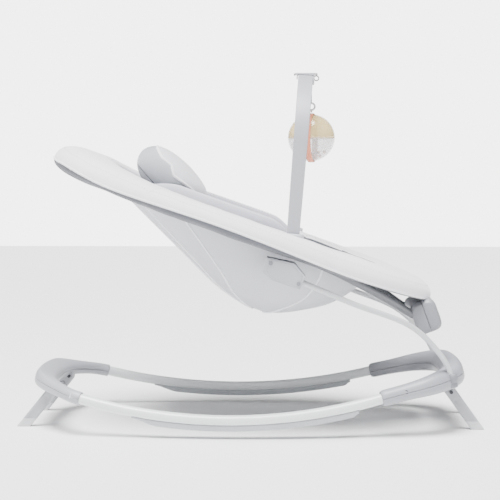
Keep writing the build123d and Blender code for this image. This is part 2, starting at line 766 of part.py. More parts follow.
def buckle_body():
    """Harness buckle with a well for its release button."""
    body = Box(BUCKLE_L, BUCKLE_W, BUCKLE_T)
    body = fillet(body.edges().filter_by(Axis.Z), 8)
    well = Pos(0, 0, BUCKLE_T / 2 - 2.5) * Box(BUTTON_SIDE + 0.8, BUTTON_SIDE + 0.8, 5)
    return in_seat(Pos(*BUCKLE_AT) * (body - well))


def buckle_button():
    side = BUTTON_SIDE
    cap = Pos(0, 0, BUCKLE_T / 2 - 0.4) * Box(side, side, 4.4)
    return in_seat(Pos(*BUCKLE_AT) * cap)


def buckle_tongue(side):
    y = side * (BUCKLE_W / 2 + TONGUE_L / 2)
    return in_seat(Pos(*BUCKLE_AT) * (Pos(0, y, 0) * Box(20, TONGUE_L, 4)))


def waist_strap(side):
    """Webbing from a buckle tongue out to the side of the lining."""
    start = BUCKLE_W / 2 + TONGUE_L
    length = WAIST_END_Y - start
    band = Pos(0, side * (start + length / 2), 0) * Box(WEBBING_W, length, WEBBING_T)
    return biggest(in_seat(Pos(*BUCKLE_AT) * band) - seat_liner())


def crotch_strap():
    """Webbing from the buckle down to the foot end of the lining."""
    start = BUCKLE_AT[0] + BUCKLE_L / 2
    band = Pos((start + CROTCH_END_X) / 2, 0, BUCKLE_AT[2]) * Box(
        CROTCH_END_X - start, WEBBING_W, WEBBING_T
    )
    return biggest(in_seat(band) - seat_liner())


def seat():
    write(bracket_screws(), "bracket_screws")
    write(rim_pad(), "rim_pad")
    write(sling(), "sling")
    write(seat_liner(), "seat_liner")
    write(head_pillow(), "head_pillow")
    write(seat_frame_tube(), "seat_frame_tube")
    write(buckle_body(), "buckle_body")
    write(buckle_button(), "buckle_button")
    write(crotch_strap(), "crotch_strap")
    for name, side in SIDES.items():
        write(buckle_tongue(side), "buckle_tongue_" + name)
        write(waist_strap(side), "waist_strap_" + name)
        write(bracket_plate(side, BRACKET_Y_OUT), "bracket_outer_" + name)
        write(bracket_plate(side, BRACKET_Y_IN), "bracket_inner_" + name)
        write(bracket_core(side), "bracket_core_" + name)


def control_unit():
    front, rear = control_housing()
    write(front, "control_housing_front")
    write(rear, "control_housing_rear")
    write(circuit_board(), "circuit_board")
    write(batteries(), "batteries")
    write(battery_door(), "battery_door")
    write(motor_case(), "vibration_motor")
    write(motor_weight(), "vibration_weight")
    write(control_button(BUTTON_Y[0]), "power_button")
    write(control_button(BUTTON_Y[1]), "sound_button")


def toys():
    write(toy_bar(), "toy_bar_arch")
    write(top_clip(), "toy_bar_clip")
    write(toy_ribbon(), "toy_ribbon")
    write(toy_link(), "toy_link")
    write(ball_shell(True), "ball_upper")
    write(ball_shell(False), "ball_lower")
    write(ball_divider(), "ball_divider")
    write(ball_belt(), "ball_belt")
    write(ball_beads(), "ball_beads")


base()
stands()
seat()
control_unit()
toys()
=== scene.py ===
import math

import bmesh
import bpy
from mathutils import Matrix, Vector, noise


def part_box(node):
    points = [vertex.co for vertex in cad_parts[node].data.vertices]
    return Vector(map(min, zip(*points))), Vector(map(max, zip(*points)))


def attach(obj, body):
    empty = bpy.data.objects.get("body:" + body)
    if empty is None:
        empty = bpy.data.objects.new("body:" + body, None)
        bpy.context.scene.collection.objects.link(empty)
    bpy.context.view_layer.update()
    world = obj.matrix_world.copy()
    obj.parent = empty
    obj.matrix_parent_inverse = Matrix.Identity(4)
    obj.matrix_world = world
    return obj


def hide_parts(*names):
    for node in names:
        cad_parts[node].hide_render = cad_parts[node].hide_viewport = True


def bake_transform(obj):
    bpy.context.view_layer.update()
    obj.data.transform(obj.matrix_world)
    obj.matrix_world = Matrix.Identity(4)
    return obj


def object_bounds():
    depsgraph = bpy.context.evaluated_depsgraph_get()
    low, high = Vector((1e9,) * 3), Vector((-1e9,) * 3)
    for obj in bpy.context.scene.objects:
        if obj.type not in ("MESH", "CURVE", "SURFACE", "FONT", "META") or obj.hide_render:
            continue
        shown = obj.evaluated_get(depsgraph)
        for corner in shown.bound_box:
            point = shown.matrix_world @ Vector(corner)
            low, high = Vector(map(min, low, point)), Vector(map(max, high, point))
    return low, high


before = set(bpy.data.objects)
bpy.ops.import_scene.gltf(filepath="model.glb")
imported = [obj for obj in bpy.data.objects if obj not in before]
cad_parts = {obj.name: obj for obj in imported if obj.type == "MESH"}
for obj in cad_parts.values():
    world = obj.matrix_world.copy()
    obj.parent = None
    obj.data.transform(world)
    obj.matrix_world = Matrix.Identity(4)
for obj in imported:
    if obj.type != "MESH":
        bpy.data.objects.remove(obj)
cad_low, cad_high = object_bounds()
SIDES = {"left": 1, "right": -1}

# ---- Rocker rails -------------------------------------------------------------------------
# Two bent steel tubes with a pale satin powder coat, which the whole seat stands on. Each one
# plugs into the head cap at one end and into the foot hub at the other.

TUBE_R = 0.009
RAIL_RADIUS = 0.861
RAIL_LEAN = math.radians(30.2)
rail_low, rail_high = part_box("base_rail_left")
RAIL_MID = Vector((-0.035, rail_high.y - TUBE_R, rail_low.z + TUBE_R))


def tint(red, green, blue):
    """A colour given in 0-255 display values, as the shader wants it."""
    return [(value / 255) ** 2.2 for value in (red, green, blue)]


def finish(name, colour, rough, drift=0.03, grain=700.0, relief=0.00003, coat=0.0, metal=0.0,
           sheen=0.0, alpha=1.0):
    """A moulded, painted or rubbed surface: its colour drifts, its gloss is uneven, its skin has grain."""
    material = bpy.data.materials.new(name)
    material.use_nodes = True
    tree = material.node_tree
    shader = tree.nodes["Principled BSDF"]
    place = tree.nodes.new("ShaderNodeTexCoord")
    cloud = tree.nodes.new("ShaderNodeTexNoise")
    cloud.inputs["Scale"].default_value = 11.0
    cloud.inputs["Detail"].default_value = 5.0
    ramp = tree.nodes.new("ShaderNodeValToRGB")
    ramp.color_ramp.elements[0].position = 0.32
    ramp.color_ramp.elements[1].position = 0.68
    ramp.color_ramp.elements[0].color = [channel * (1 - drift) for channel in colour] + [1]
    ramp.color_ramp.elements[1].color = [min(channel * (1 + drift), 1) for channel in colour] + [1]
    gloss = tree.nodes.new("ShaderNodeMapRange")
    gloss.inputs["To Min"].default_value = max(rough - 0.07, 0.02)
    gloss.inputs["To Max"].default_value = rough + 0.07
    skin = tree.nodes.new("ShaderNodeTexNoise")
    skin.name = "skin"
    skin.inputs["Scale"].default_value = grain
    bump = tree.nodes.new("ShaderNodeBump")
    bump.name = "bump"
    bump.inputs["Strength"].default_value = 0.7
    bump.inputs["Distance"].default_value = relief
    tree.links.new(place.outputs["Object"], cloud.inputs["Vector"])
    tree.links.new(place.outputs["Object"], skin.inputs["Vector"])
    tree.links.new(cloud.outputs["Fac"], ramp.inputs["Fac"])
    tree.links.new(cloud.outputs["Fac"], gloss.inputs["Value"])
    tree.links.new(ramp.outputs["Color"], shader.inputs["Base Color"])
    tree.links.new(gloss.outputs["Result"], shader.inputs["Roughness"])
    tree.links.new(skin.outputs["Fac"], bump.inputs["Height"])
    tree.links.new(bump.outputs["Normal"], shader.inputs["Normal"])
    shader.inputs["Coat Weight"].default_value = coat
    shader.inputs["Coat Roughness"].default_value = 0.18
    shader.inputs["Metallic"].default_value = metal
    shader.inputs["Sheen Weight"].default_value = sheen
    shader.inputs["Alpha"].default_value = alpha
    return material


def dress(material, slot, *names, edge=0.0005):
    """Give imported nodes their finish, and break their sharp edges as a mould or a brush does."""
    for name in names:
        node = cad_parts[name]
        node.data.materials.clear()
        node.data.materials.append(material)
        weld = node.modifiers.new("weld", "WELD")
        weld.merge_threshold = 0.00001
        if edge:
            bevel = node.modifiers.new("edges", "BEVEL")
            bevel.width = edge
            bevel.segments = 2
            bevel.limit_method = "ANGLE"
            bevel.angle_limit = math.radians(40)
        weighted = node.modifiers.new("weighted", "WEIGHTED_NORMAL")
        weighted.weight = 80


def rail_point(x, side):
    reach = RAIL_RADIUS - math.sqrt(RAIL_RADIUS**2 - (x - RAIL_MID.x) ** 2)
    y = side * (RAIL_MID.y - reach * math.sin(RAIL_LEAN))
    return Vector((x, y, RAIL_MID.z + reach * math.cos(RAIL_LEAN)))


satin_paint = finish("satin_paint", tint(226, 229, 230), 0.3, drift=0.015, relief=0.00002, coat=0.35)
dress(satin_paint, "frame_paint", "base_rail_left", "base_rail_right", edge=0)

# ---- Anti-slip runners --------------------------------------------------------------------
# Extruded rubber strips, clipped along the lower side of each rail where it touches the
# floor. They are a shade darker than the paint, with a fine lengthwise grain.

RUNNER_HALF_W = 0.0068
RUNNER_DEPTH = 0.0092
RUNNER_NOSE = 0.045
RUNNER_TAIL = 0.012


def loft(name, rings, closed=False, open_start=False):
    """Skin a row of closed rings with equally many points; open_start leaves the first ring uncapped."""
    count = len(rings[0])
    corners = [point for ring in rings for point in ring]
    faces = []
    for span in range(len(rings) if closed else len(rings) - 1):
        low = span * count
        high = (span + 1) % len(rings) * count
        for index in range(count):
            after = (index + 1) % count
            faces.append((low + index, low + after, high + after, high + index))
    if not closed and not open_start:
        faces.append(tuple(range(count)))
    if not closed:
        faces.append(tuple(range(len(corners) - count, len(corners))))
    mesh = bpy.data.meshes.new(name)
    mesh.from_pydata(corners, [], faces)
    work = bmesh.new()
    work.from_mesh(mesh)
    bmesh.ops.recalc_face_normals(work, faces=work.faces)
    work.to_mesh(mesh)
    work.free()
    mesh.polygons.foreach_set("use_smooth", [True] * len(mesh.polygons))
    piece = bpy.data.objects.new(name, mesh)
    bpy.context.scene.collection.objects.link(piece)
    return piece


def sweep(name, line, up, profile, closed=False):
    """Carry a profile, given as (across, up) offsets for each share of the line, along the line."""
    rings = []
    last = len(line) - 1
    for index, point in enumerate(line):
        ahead = line[(index + 1) % len(line)] if closed else line[min(index + 1, last)]
        behind = line[index - 1] if closed else line[max(index - 1, 0)]
        tangent = (ahead - behind).normalized()
        across = tangent.cross(up).normalized()
        lift = across.cross(tangent)
        rings.append([point + across * a + lift * b for a, b in profile(index / last)])
    return loft(name, rings, closed)


def ease(value, low, high):
    """0 below low, 1 above high, and a smooth turn between them."""
    share = min(max((value - low) / (high - low), 0.0), 1.0)
    return share * share * (3 - 2 * share)


def oval(half_w, half_h, power, angle):
    """A point of a squarish oval."""
    across = math.copysign(abs(math.cos(angle)) ** (2 / power), math.cos(angle)) * half_w
    up = math.copysign(abs(math.sin(angle)) ** (2 / power), math.sin(angle)) * half_h
    return across, up


def belongs(piece, material, body, slot, *nodes):
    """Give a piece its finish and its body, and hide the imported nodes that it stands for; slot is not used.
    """
    piece.data.materials.append(material)
    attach(piece, body)
    if nodes:
        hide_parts(*nodes)
    return piece


def break_edges(piece, width, angle=45):
    """Round the sharp edges of a moulded piece."""
    edges = piece.modifiers.new("edges", "BEVEL")
    edges.width = width
    edges.segments = 2
    edges.limit_method = "ANGLE"
    edges.angle_limit = math.radians(angle)
    weighted = piece.modifiers.new("weighted", "WEIGHTED_NORMAL")
    weighted.weight = 60


runner_rubber = finish("runner_rubber", tint(176, 179, 183), 0.62, drift=0.04, grain=420.0, relief=0.00008)
for side_name, side in SIDES.items():
    runner_low, runner_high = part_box("rail_runner_" + side_name)
    start_x, stop_x = runner_low.x + 0.003, runner_high.x - 0.003
    length = stop_x - start_x
    route = [rail_point(start_x + length * step / 90, side) for step in range(91)]

    def strip(share):
        """A strip hung under the rail: it tapers away at the head end and has a blunt foot end."""
        reach = share * length
        tail = 0.35 + 0.65 * ease(length - reach, 0.0, RUNNER_TAIL)
        depth = 0.15 + 0.85 * min(ease(reach, 0.0, RUNNER_NOSE), tail)
        points = []
        for step in range(24):
            across, up = oval(RUNNER_HALF_W, 1.0, 3.4, math.tau * step / 24)
            points.append((across, -TUBE_R + 0.002 - (1 - up) / 2 * (RUNNER_DEPTH * depth + 0.002)))
        return points

    runner = sweep("rail_runner_strip_" + side_name, route, Vector((0, 0, 1)), strip)
    belongs(runner, runner_rubber, "base", "runner_rubber", "rail_runner_" + side_name)

# ---- Head cap -----------------------------------------------------------------------------
# A U-shaped moulding of pale grey plastic that joins the rails at the head end, made as an
# upper and a lower shell with a fine parting line. It swells from the rails into a flat crown.

CAP_JOINT_X = -0.285
CAP_HALF_W = 0.020
CAP_HALF_H = 0.0155
CAP_CORNER_R = 0.102
CAP_SLOPE = 0.25
CAP_BOW = 0.020
ARM_SPLAY = 0.17
SEAM_GAP = 0.0003
cap_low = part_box("head_cap_upper")[0]


def bent(corners, radius, steps=16):
    """Points along straight runs that are joined by round bends."""
    line = [corners[0]]
    for before, corner, after in zip(corners, corners[1:], corners[2:]):
        into = (corner - before).normalized()
        out = (after - corner).normalized()
        turn = into.angle(out)
        start = corner - into * radius * math.tan(turn / 2)
        inward = (out - into * out.dot(into)).normalized()
        for step in range(steps + 1):
            angle = turn * step / steps
            line.append(start + into * radius * math.sin(angle) + inward * radius * (1 - math.cos(angle)))
    line.append(corners[-1])
    return line


def even(line, count):
    """The same line with its points evenly spaced."""
    lengths = [0.0]
    for before, after in zip(line, line[1:]):
        lengths.append(lengths[-1] + (after - before).length)
    spaced = []
    span = 0
    for index in range(count):
        goal = lengths[-1] * index / (count - 1)
        while span < len(line) - 2 and lengths[span + 1] < goal:
            span += 1
        share = (goal - lengths[span]) / max(lengths[span + 1] - lengths[span], 1e-9)
        spaced.append(line[span].lerp(line[span + 1], share))
    return spaced


def moulding_line(joint_x, rear_x, corner_r, slope, bow):
    """Centre line of an end moulding, bowed outwards at its middle, and the normal of its tilted plane."""
    start = rail_point(joint_x, 1)
    run = abs(rear_x - joint_x)
    rear_y = start.y - run * ARM_SPLAY
    rear_z = start.z + run * slope
    corners = [Vector((joint_x, -start.y, start.z)), Vector((rear_x, -rear_y, rear_z))]
    corners += [Vector((rear_x, rear_y, rear_z)), Vector((joint_x, start.y, start.z))]
    toward = math.copysign(1, rear_x - joint_x)
    normal = Vector((-slope * toward, 0, 1)).normalized()
    outward = Vector((toward, 0, slope))
    line = []
    for point in even(bent(corners, corner_r), 121):
        reach = ease(abs(point.x - joint_x), 0.0, run)
        line.append(point - outward * bow * reach * (point.y / rear_y) ** 2)
    return line, normal


def half_shells(name, line, up, section, outward, body, material, slot):
    """Upper and lower shell of a moulding, which meet at a fine parting line."""
    shells = []
    for part, start in (("upper", 0.0), ("lower", math.pi)):
        lift = SEAM_GAP if part == "upper" else -SEAM_GAP

        def profile(share, start=start, lift=lift):
            points = []
            for step in range(25):
                across, high = section(share, start + math.pi * step / 24)
                points.append((across * outward, high + lift))
            return points

        shell = sweep(name + "_" + part + "_shell", line, up, profile)
        break_edges(shell, 0.0008, 50)
        shells.append(belongs(shell, material, body, slot, name + "_" + part))
    return shells


def cap_section(share, angle):
    """Round at the rails, wide and flat at the crown, with a raised lip round its outer side."""
    crown = ease(min(share, 1 - share), 0.10, 0.36)
    half_w = 0.0112 + (CAP_HALF_W - 0.0112) * crown
    half_h = 0.0112 + (CAP_HALF_H - 0.0112) * crown
    across, high = oval(half_w, half_h, 2.0 + 0.9 * crown, angle)
    if high > 0:
        inner = (1 - across / half_w) / 2
        high *= 1 - 0.42 * crown * inner**1.3
        lip = math.exp(-(((across / half_w - 0.72) / 0.16) ** 2))
        high += 0.0016 * crown * lip
    return across, high


cap_line, cap_up = moulding_line(CAP_JOINT_X, cap_low.x + CAP_HALF_W, CAP_CORNER_R, CAP_SLOPE, CAP_BOW)
grey_moulding = finish("grey_moulding", tint(166, 167, 173), 0.42, drift=0.025, grain=900.0, relief=0.00005)
half_shells("head_cap", cap_line, cap_up, cap_section, -1, "base", grey_moulding, "base_plastic")

# ---- Foot hub -----------------------------------------------------------------------------
# The heavier U-shaped moulding at the foot end. It holds the rails in thick round collars and
# grips the roots of both spring wires, so it is deeper at its corners. Screws close its shells.

HUB_JOINT_X = 0.2265
HUB_HALF_W = 0.0205
HUB_HALF_H = 0.0195
HUB_CORNER_R = 0.072
HUB_SLOPE = 0.24
HUB_BOW = 0.012
COLLAR_R = 0.0137
hub_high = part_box("foot_hub_upper")[1]


def hub_section(share, angle):
    """A thick collar that grows towards the corner, scooped along the inner side of the arch."""
    end = min(share, 1 - share)
    crown = ease(end, 0.06, 0.34)
    nose = 0.86 + 0.14 * ease(end, 0.0, 0.012)
    half_w = (COLLAR_R + (HUB_HALF_W - COLLAR_R) * crown) * nose
    half_h = (COLLAR_R + (HUB_HALF_H - COLLAR_R) * crown) * nose
    across, high = oval(half_w, half_h, 2.0 + 0.7 * crown, angle)
    scoop = ease(-across / half_w, 0.1, 0.9) * ease(end, 0.2, 0.4)
    if high > 0:
        high *= 1 - 0.36 * scoop
    return across, high


hub_line, hub_up = moulding_line(HUB_JOINT_X, hub_high.x - HUB_HALF_W, HUB_CORNER_R, HUB_SLOPE, HUB_BOW)
hub_moulding = finish("hub_moulding", tint(152, 153, 160), 0.40, drift=0.025, grain=900.0, relief=0.00005)
hub_shells = half_shells("foot_hub", hub_line, hub_up, hub_section, 1, "base", hub_moulding, "base_plastic")


def disc_rings(centre, axis, radii, depths, count=24):
    """Rings of a turned piece: a radius and a depth along the axis for each."""
    side = axis.orthogonal().normalized()
    other = axis.cross(side)
    rings = []
    for radius, depth in zip(radii, depths):
        ring = []
        for step in range(count):
            angle = math.tau * step / count
            ring.append(centre + axis * depth + (side * math.cos(angle) + other * math.sin(angle)) * radius)
        rings.append(ring)
    return rings


def cut(piece, cutter):
    """Sink a hole of the cutter's shape into a piece, and throw the cutter away."""
    hole = piece.modifiers.new("hole", "BOOLEAN")
    hole.operation = "DIFFERENCE"
    hole.solver = "EXACT"
    hole.object = cutter
    bpy.context.view_layer.update()
    graph = bpy.context.evaluated_depsgraph_get()
    mesh = bpy.data.meshes.new_from_object(piece.evaluated_get(graph))
    piece.modifiers.clear()
    piece.data = mesh
    bpy.data.objects.remove(cutter)


screw_steel = finish("screw_steel", tint(58, 59, 63), 0.45, drift=0.06, metal=0.3)
HUB_SCREW_X = 0.268
for side_name, side in SIDES.items():
    centre = rail_point(HUB_SCREW_X, side) + Vector((0, side * 0.0165, 0.0))
    hole = loft("hole", disc_rings(centre, Vector((0, side, 0)), (0.0036, 0.0036), (-0.006, 0.01)))
    for shell in hub_shells:
        if shell.name.endswith("lower_shell"):
            cut(shell, hole)
    sunk = disc_rings(centre, Vector((0, side, 0)), (0.0001, 0.0012, 0.0014, 0.0031, 0.0034, 0.0034),
                      (-0.0052, -0.0052, -0.0036, -0.0034, -0.0040, -0.0066))
    screw = loft("hub_screw_" + side_name, sunk)
    belongs(screw, screw_steel, "base", "screw_steel")

# ---- Folding stands -----------------------------------------------------------------------
# Each end has two flat plastic legs on steel pins, tied by a cross tube. They swing out under
# the end mouldings and stop the rocking. Rubber shoes close their feet.

LEG_HALF_W = 0.0095
LEG_HALF_T = 0.0055
SHOE_TOP = 0.014
FLUTE_HALF_W = 0.0052
FLUTE_DEPTH = 0.0018
LEG_STEPS = 60


def leg_piece(name, pivot, foot, thick, cut_low, cut_high, fluted):
    """A flat leg, round at its hinge and fluted on both faces, between two heights above the floor."""
    down = foot - pivot
    length = down.length
    down = down / length
    wide = down.cross(Vector((0, 1, 0)))
    rings = []
    for step in range(LEG_STEPS + 1):
        reach = -LEG_HALF_W + (length + 2 * LEG_HALF_W) * (step / LEG_STEPS)
        half = LEG_HALF_W
        if reach < 0:
            half = math.sqrt(max(LEG_HALF_W**2 - reach**2, 1e-8))
        flute = FLUTE_DEPTH * ease(reach, 0.014, 0.018) * fluted
        ring = []
        for corner in range(40):
            angle = math.tau * corner / 40
            across, out = oval(half, thick, 6.0, angle)
            if abs(across) < FLUTE_HALF_W:
                out -= math.copysign(flute, out) * (1 - ease(abs(across), FLUTE_HALF_W * 0.75, FLUTE_HALF_W))
            point = pivot + down * reach + wide * across + Vector((0, out, 0))
            level = min(max(point.z, cut_low), cut_high)
            ring.append(point + down * ((level - point.z) / down.z))
        rings.append(ring)
    leg = loft(name, rings)
    tidy = bmesh.new()
    tidy.from_mesh(leg.data)
    bmesh.ops.remove_doubles(tidy, verts=tidy.verts, dist=0.00002)
    tidy.to_mesh(leg.data)
    tidy.free()
    break_edges(leg, 0.0007)
    return leg


stand_plastic = finish("stand_plastic", tint(166, 167, 172), 0.45, drift=0.03, grain=800.0, relief=0.00005)
shoe_rubber = finish("shoe_rubber", tint(196, 197, 200), 0.68, drift=0.04, grain=500.0, relief=0.0001)
for end in ("head", "foot"):
    pin_low, pin_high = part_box(end + "_stand_pins")
    pads_low, pads_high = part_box(end + "_stand_pads")
    for side_name, side in SIDES.items():
        leg_low, leg_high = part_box(end + "_stand_leg_" + side_name)
        leg_y = (leg_low.y + leg_high.y) / 2
        pivot = Vector(((pin_low.x + pin_high.x) / 2, leg_y, (pin_low.z + pin_high.z) / 2))
        foot = Vector(((pads_low.x + 0.0125) if end == "head" else (pads_high.x - 0.0125), leg_y, 0.0))
        leg = leg_piece(end + "_leg_" + side_name, pivot, foot, LEG_HALF_T, SHOE_TOP, 1.0, 1)
        belongs(leg, stand_plastic, end + "_stand", "stand_plastic", end + "_stand_leg_" + side_name)
        shoe = leg_piece(end + "_shoe_" + side_name, pivot, foot, LEG_HALF_T + 0.001, 0.0, SHOE_TOP, 0)
        belongs(shoe, shoe_rubber, end + "_stand", "pad_rubber")
    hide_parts(end + "_stand_pads")
    dress(satin_paint, "frame_paint", end + "_stand_cross_tube", edge=0.0006)
    dress(screw_steel, "screw_steel", end + "_stand_pins", edge=0.0004)

# ---- Spring wires -------------------------------------------------------------------------
# Two thick spring-steel wires with a pale coating. They rise from bushes in the hub, bend over
# and run forward under the seat to its side brackets. Their bending is what lets it bounce.

WIRE_R = 0.0048
WIRE_ROUTE = ((0.352, 0.124, 0.080), (0.350, 0.125, 0.096), (0.326, 0.134, 0.141), (0.272, 0.147, 0.191),
              (0.178, 0.163, 0.228), (0.096, 0.172, 0.263), (0.052, 0.174, 0.281))


def smooth(points, steps=12):
    """A smooth line through a few points."""
    rows = [2 * points[0] - points[1]] + list(points) + [2 * points[-1] - points[-2]]
    line = []
    for a, b, c, d in zip(rows, rows[1:], rows[2:], rows[3:]):
        for step in range(steps):
            t = step / steps
            line.append(0.5 * (2 * b + (c - a) * t + (2 * a - 5 * b + 4 * c - d) * t * t
                               + (3 * b - a - 3 * c + d) * t**3))
    line.append(points[-1])
    return line


def round_bar(radius, count=16):
    """Profile of a round bar, wire or cord with slightly rounded ends."""
    def profile(share):
        end = 0.75 + 0.25 * ease(min(share, 1 - share), 0.0, 0.006)
        return [(radius * end * math.cos(math.tau * step / count),
                 radius * end * math.sin(math.tau * step / count))
                for step in range(count)]
    return profile


wire_coat = finish("wire_coat", tint(196, 198, 201), 0.3, drift=0.02, relief=0.00002, coat=0.3)
for side_name, side in SIDES.items():
    route = [Vector((x, side * y, z)) for x, y, z in WIRE_ROUTE]
    wire = sweep("spring_wire_" + side_name + "_bent", smooth(route, 18), Vector((0, 1, 0)),
                 round_bar(WIRE_R))
    wire.data.materials.append(wire_coat)
    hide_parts("spring_wire_" + side_name)
    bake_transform(wire)
sleeve_plastic = finish("sleeve_plastic", tint(126, 127, 133), 0.5, drift=0.04)
dress(sleeve_plastic, "base_plastic", "wire_sleeves", edge=0.0008)
BOOT_RADII = (0.0050, 0.0066, 0.0088, 0.0094, 0.0086)
BOOT_DEPTHS = (0.0100, 0.0098, 0.0070, 0.0020, -0.0060)
for side_name, side in SIDES.items():
    route = [Vector((x, side * y, z)) for x, y, z in WIRE_ROUTE]
    rise = (route[1] - route[0]).normalized()
    boot = loft("wire_boot_" + side_name, disc_rings(route[1], rise, BOOT_RADII, BOOT_DEPTHS))
    belongs(boot, sleeve_plastic, "base", "base_plastic")

# ---- Seat frame and side brackets ---------------------------------------------------------
# A bent steel tube under the collar carries the seat. On each side two moulded plates clamp a
# core block round the tube, the spring wire's end and the foot of the toy bar.

SEAT_UP = Vector((0.3315, 0, 0.9435))
SEAT_ALONG = Vector((0.9435, 0, -0.3315))
SEAT_MID = Vector((-0.0135, 0, 0.358))


def seat(along, across, up):
    """A point given in the seat's own axes: towards the foot end, to the left, square to the seat."""
    return SEAT_MID + SEAT_ALONG * along + Vector((0, across, 0)) + SEAT_UP * up


FRAME_TUBE_R = 0.0072
FRAME_HALF = ((-0.300, 0.079, -0.008), (-0.220, 0.134, -0.011), (-0.110, 0.168, -0.012), (0.0, 0.178, -0.012),
              (0.150, 0.159, -0.016), (0.235, 0.124, -0.028), (0.290, 0.089, -0.039), (0.322, 0.062, -0.047),
              (0.342, 0.0535, -0.051))
# The frame tube's dark grey is painted shade: it stands for the shadow it lies in under the collar.
tube_painted_shade = finish("tube_painted_shade", tint(104, 106, 110), 0.36, drift=0.02, relief=0.00002, coat=0.2)
frame_route = [seat(along, across, up) for along, across, up in reversed(FRAME_HALF)]
frame_route += [seat(-0.332, 0.0, -0.006)]
frame_route += [seat(along, -across, up) for along, across, up in FRAME_HALF]
tube = sweep("seat_frame_bent_tube", smooth(frame_route, 12), SEAT_UP, round_bar(FRAME_TUBE_R))
belongs(tube, tube_painted_shade, "seat", "strut_steel", "seat_frame_tube")
bracket_plastic = finish("bracket_plastic", tint(178, 181, 187), 0.4, drift=0.02, grain=900.0, relief=0.00005)
BRACKET_CORNERS = ((0.033, 0.308), (0.027, 0.282), (0.040, 0.270), (0.088, 0.254), (0.097, 0.276),
                   (0.079, 0.298))
BORDER_INSET = 0.0035
for side_name, side in SIDES.items():
    dress(bracket_plastic, "bracket_plastic", "bracket_outer_" + side_name, "bracket_inner_" + side_name,
          edge=0.0012)
    dress(bracket_plastic, "bracket_plastic", "bracket_core_" + side_name, edge=0.0008)
    plate_low, plate_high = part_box("bracket_outer_" + side_name)
    face_y = plate_high.y if side > 0 else plate_low.y
    middle = sum((Vector((x, 0, z)) for x, z in BRACKET_CORNERS), Vector()) / len(BRACKET_CORNERS)
    border = []
    for x, z in BRACKET_CORNERS:
        corner = Vector((x, 0, z))
        inward = (middle - corner).normalized() * BORDER_INSET * 1.6
        border.append(corner + inward + Vector((0, face_y, 0)))
    border_line = even(border + [border[0]], 73)[:-1]
    bead = sweep("bracket_border_" + side_name, border_line, Vector((0, 1, 0)),
                 lambda share: [oval(0.0011, 0.0009, 2.0, math.tau * step / 8) for step in range(8)],
                 closed=True)
    belongs(bead, bracket_plastic, "seat", "bracket_plastic")
screw_cap = finish("screw_cap", tint(130, 132, 138), 0.4, drift=0.03)
dress(screw_cap, "screw_steel", "bracket_screws", edge=0.0009)

# ---- Padded collar ------------------------------------------------------------------------
# The wide foam ring round the seat, covered in near-white knit. Its underside and the inner wall of its mouth
# get a dark grey cloth that paints the shade there.
# A welt is sewn in between the two, and the cover is seamed across at four places.

COLLAR_HALF_L = 0.362
COLLAR_HALF_W = 0.205
MOUTH_HALF_L = 0.250
MOUTH_HALF_W = 0.125
COLLAR_STEPS = 220
CROSS_SEAMS = (math.radians(62), math.radians(118), math.radians(242), math.radians(298))


def knit(name, colour, thread, relief, dimples=0.0014, dimple_scale=16.0, drift=0.02, sheen=0.25, alpha=1.0):
    """A woven or knitted cloth: crossed threads in its relief, over soft dimples in its filling."""
    material = finish(name, colour, 0.85, drift=drift, sheen=sheen, alpha=alpha)
    tree = material.node_tree
    place = tree.nodes["Texture Coordinate"]
    bump = tree.nodes["bump"]
    bump.inputs["Distance"].default_value = relief
    threads = []
    for direction in ("X", "Y"):
        wave = tree.nodes.new("ShaderNodeTexWave")
        wave.bands_direction = direction
        wave.inputs["Scale"].default_value = 0.314 / thread
        wave.inputs["Distortion"].default_value = 1.2
        wave.inputs["Detail"].default_value = 1.0
        tree.links.new(place.outputs["Object"], wave.inputs["Vector"])
        threads.append(wave)
    crossing = tree.nodes.new("ShaderNodeMath")
    crossing.operation = "ADD"
    tree.links.new(threads[0].outputs["Fac"], crossing.inputs[0])
    tree.links.new(threads[1].outputs["Fac"], crossing.inputs[1])
    tree.links.new(crossing.outputs["Value"], bump.inputs["Height"])
    filling = tree.nodes.new("ShaderNodeTexNoise")
    filling.inputs["Scale"].default_value = dimple_scale
    filling.inputs["Detail"].default_value = 2.5
    soft = tree.nodes.new("ShaderNodeBump")
    soft.inputs["Strength"].default_value = 0.6
    soft.inputs["Distance"].default_value = dimples
    tree.links.new(place.outputs["Object"], filling.inputs["Vector"])
    tree.links.new(filling.outputs["Fac"], soft.inputs["Height"])
    tree.links.new(soft.outputs["Normal"], bump.inputs["Normal"])
    shader = tree.nodes["Principled BSDF"]
    shader.inputs["Sheen Roughness"].default_value = 0.45
    return material


PARTING = ((0, -0.0150), (50, -0.0180), (95, -0.0080), (128, -0.0126), (160, -0.0030), (180, 0.0010))
KEEL = -0.0225
CREST = 0.016


def parting(turn):
    """Height of the seam between the cover and its lining, at a turn about the seat."""
    reach = math.degrees(math.acos(max(min(math.cos(turn), 1.0), -1.0)))
    for (start, low), (stop, high) in zip(PARTING, PARTING[1:]):
        if reach <= stop:
            return low + (high - low) * ease(reach, start, stop)
    return PARTING[-1][1]


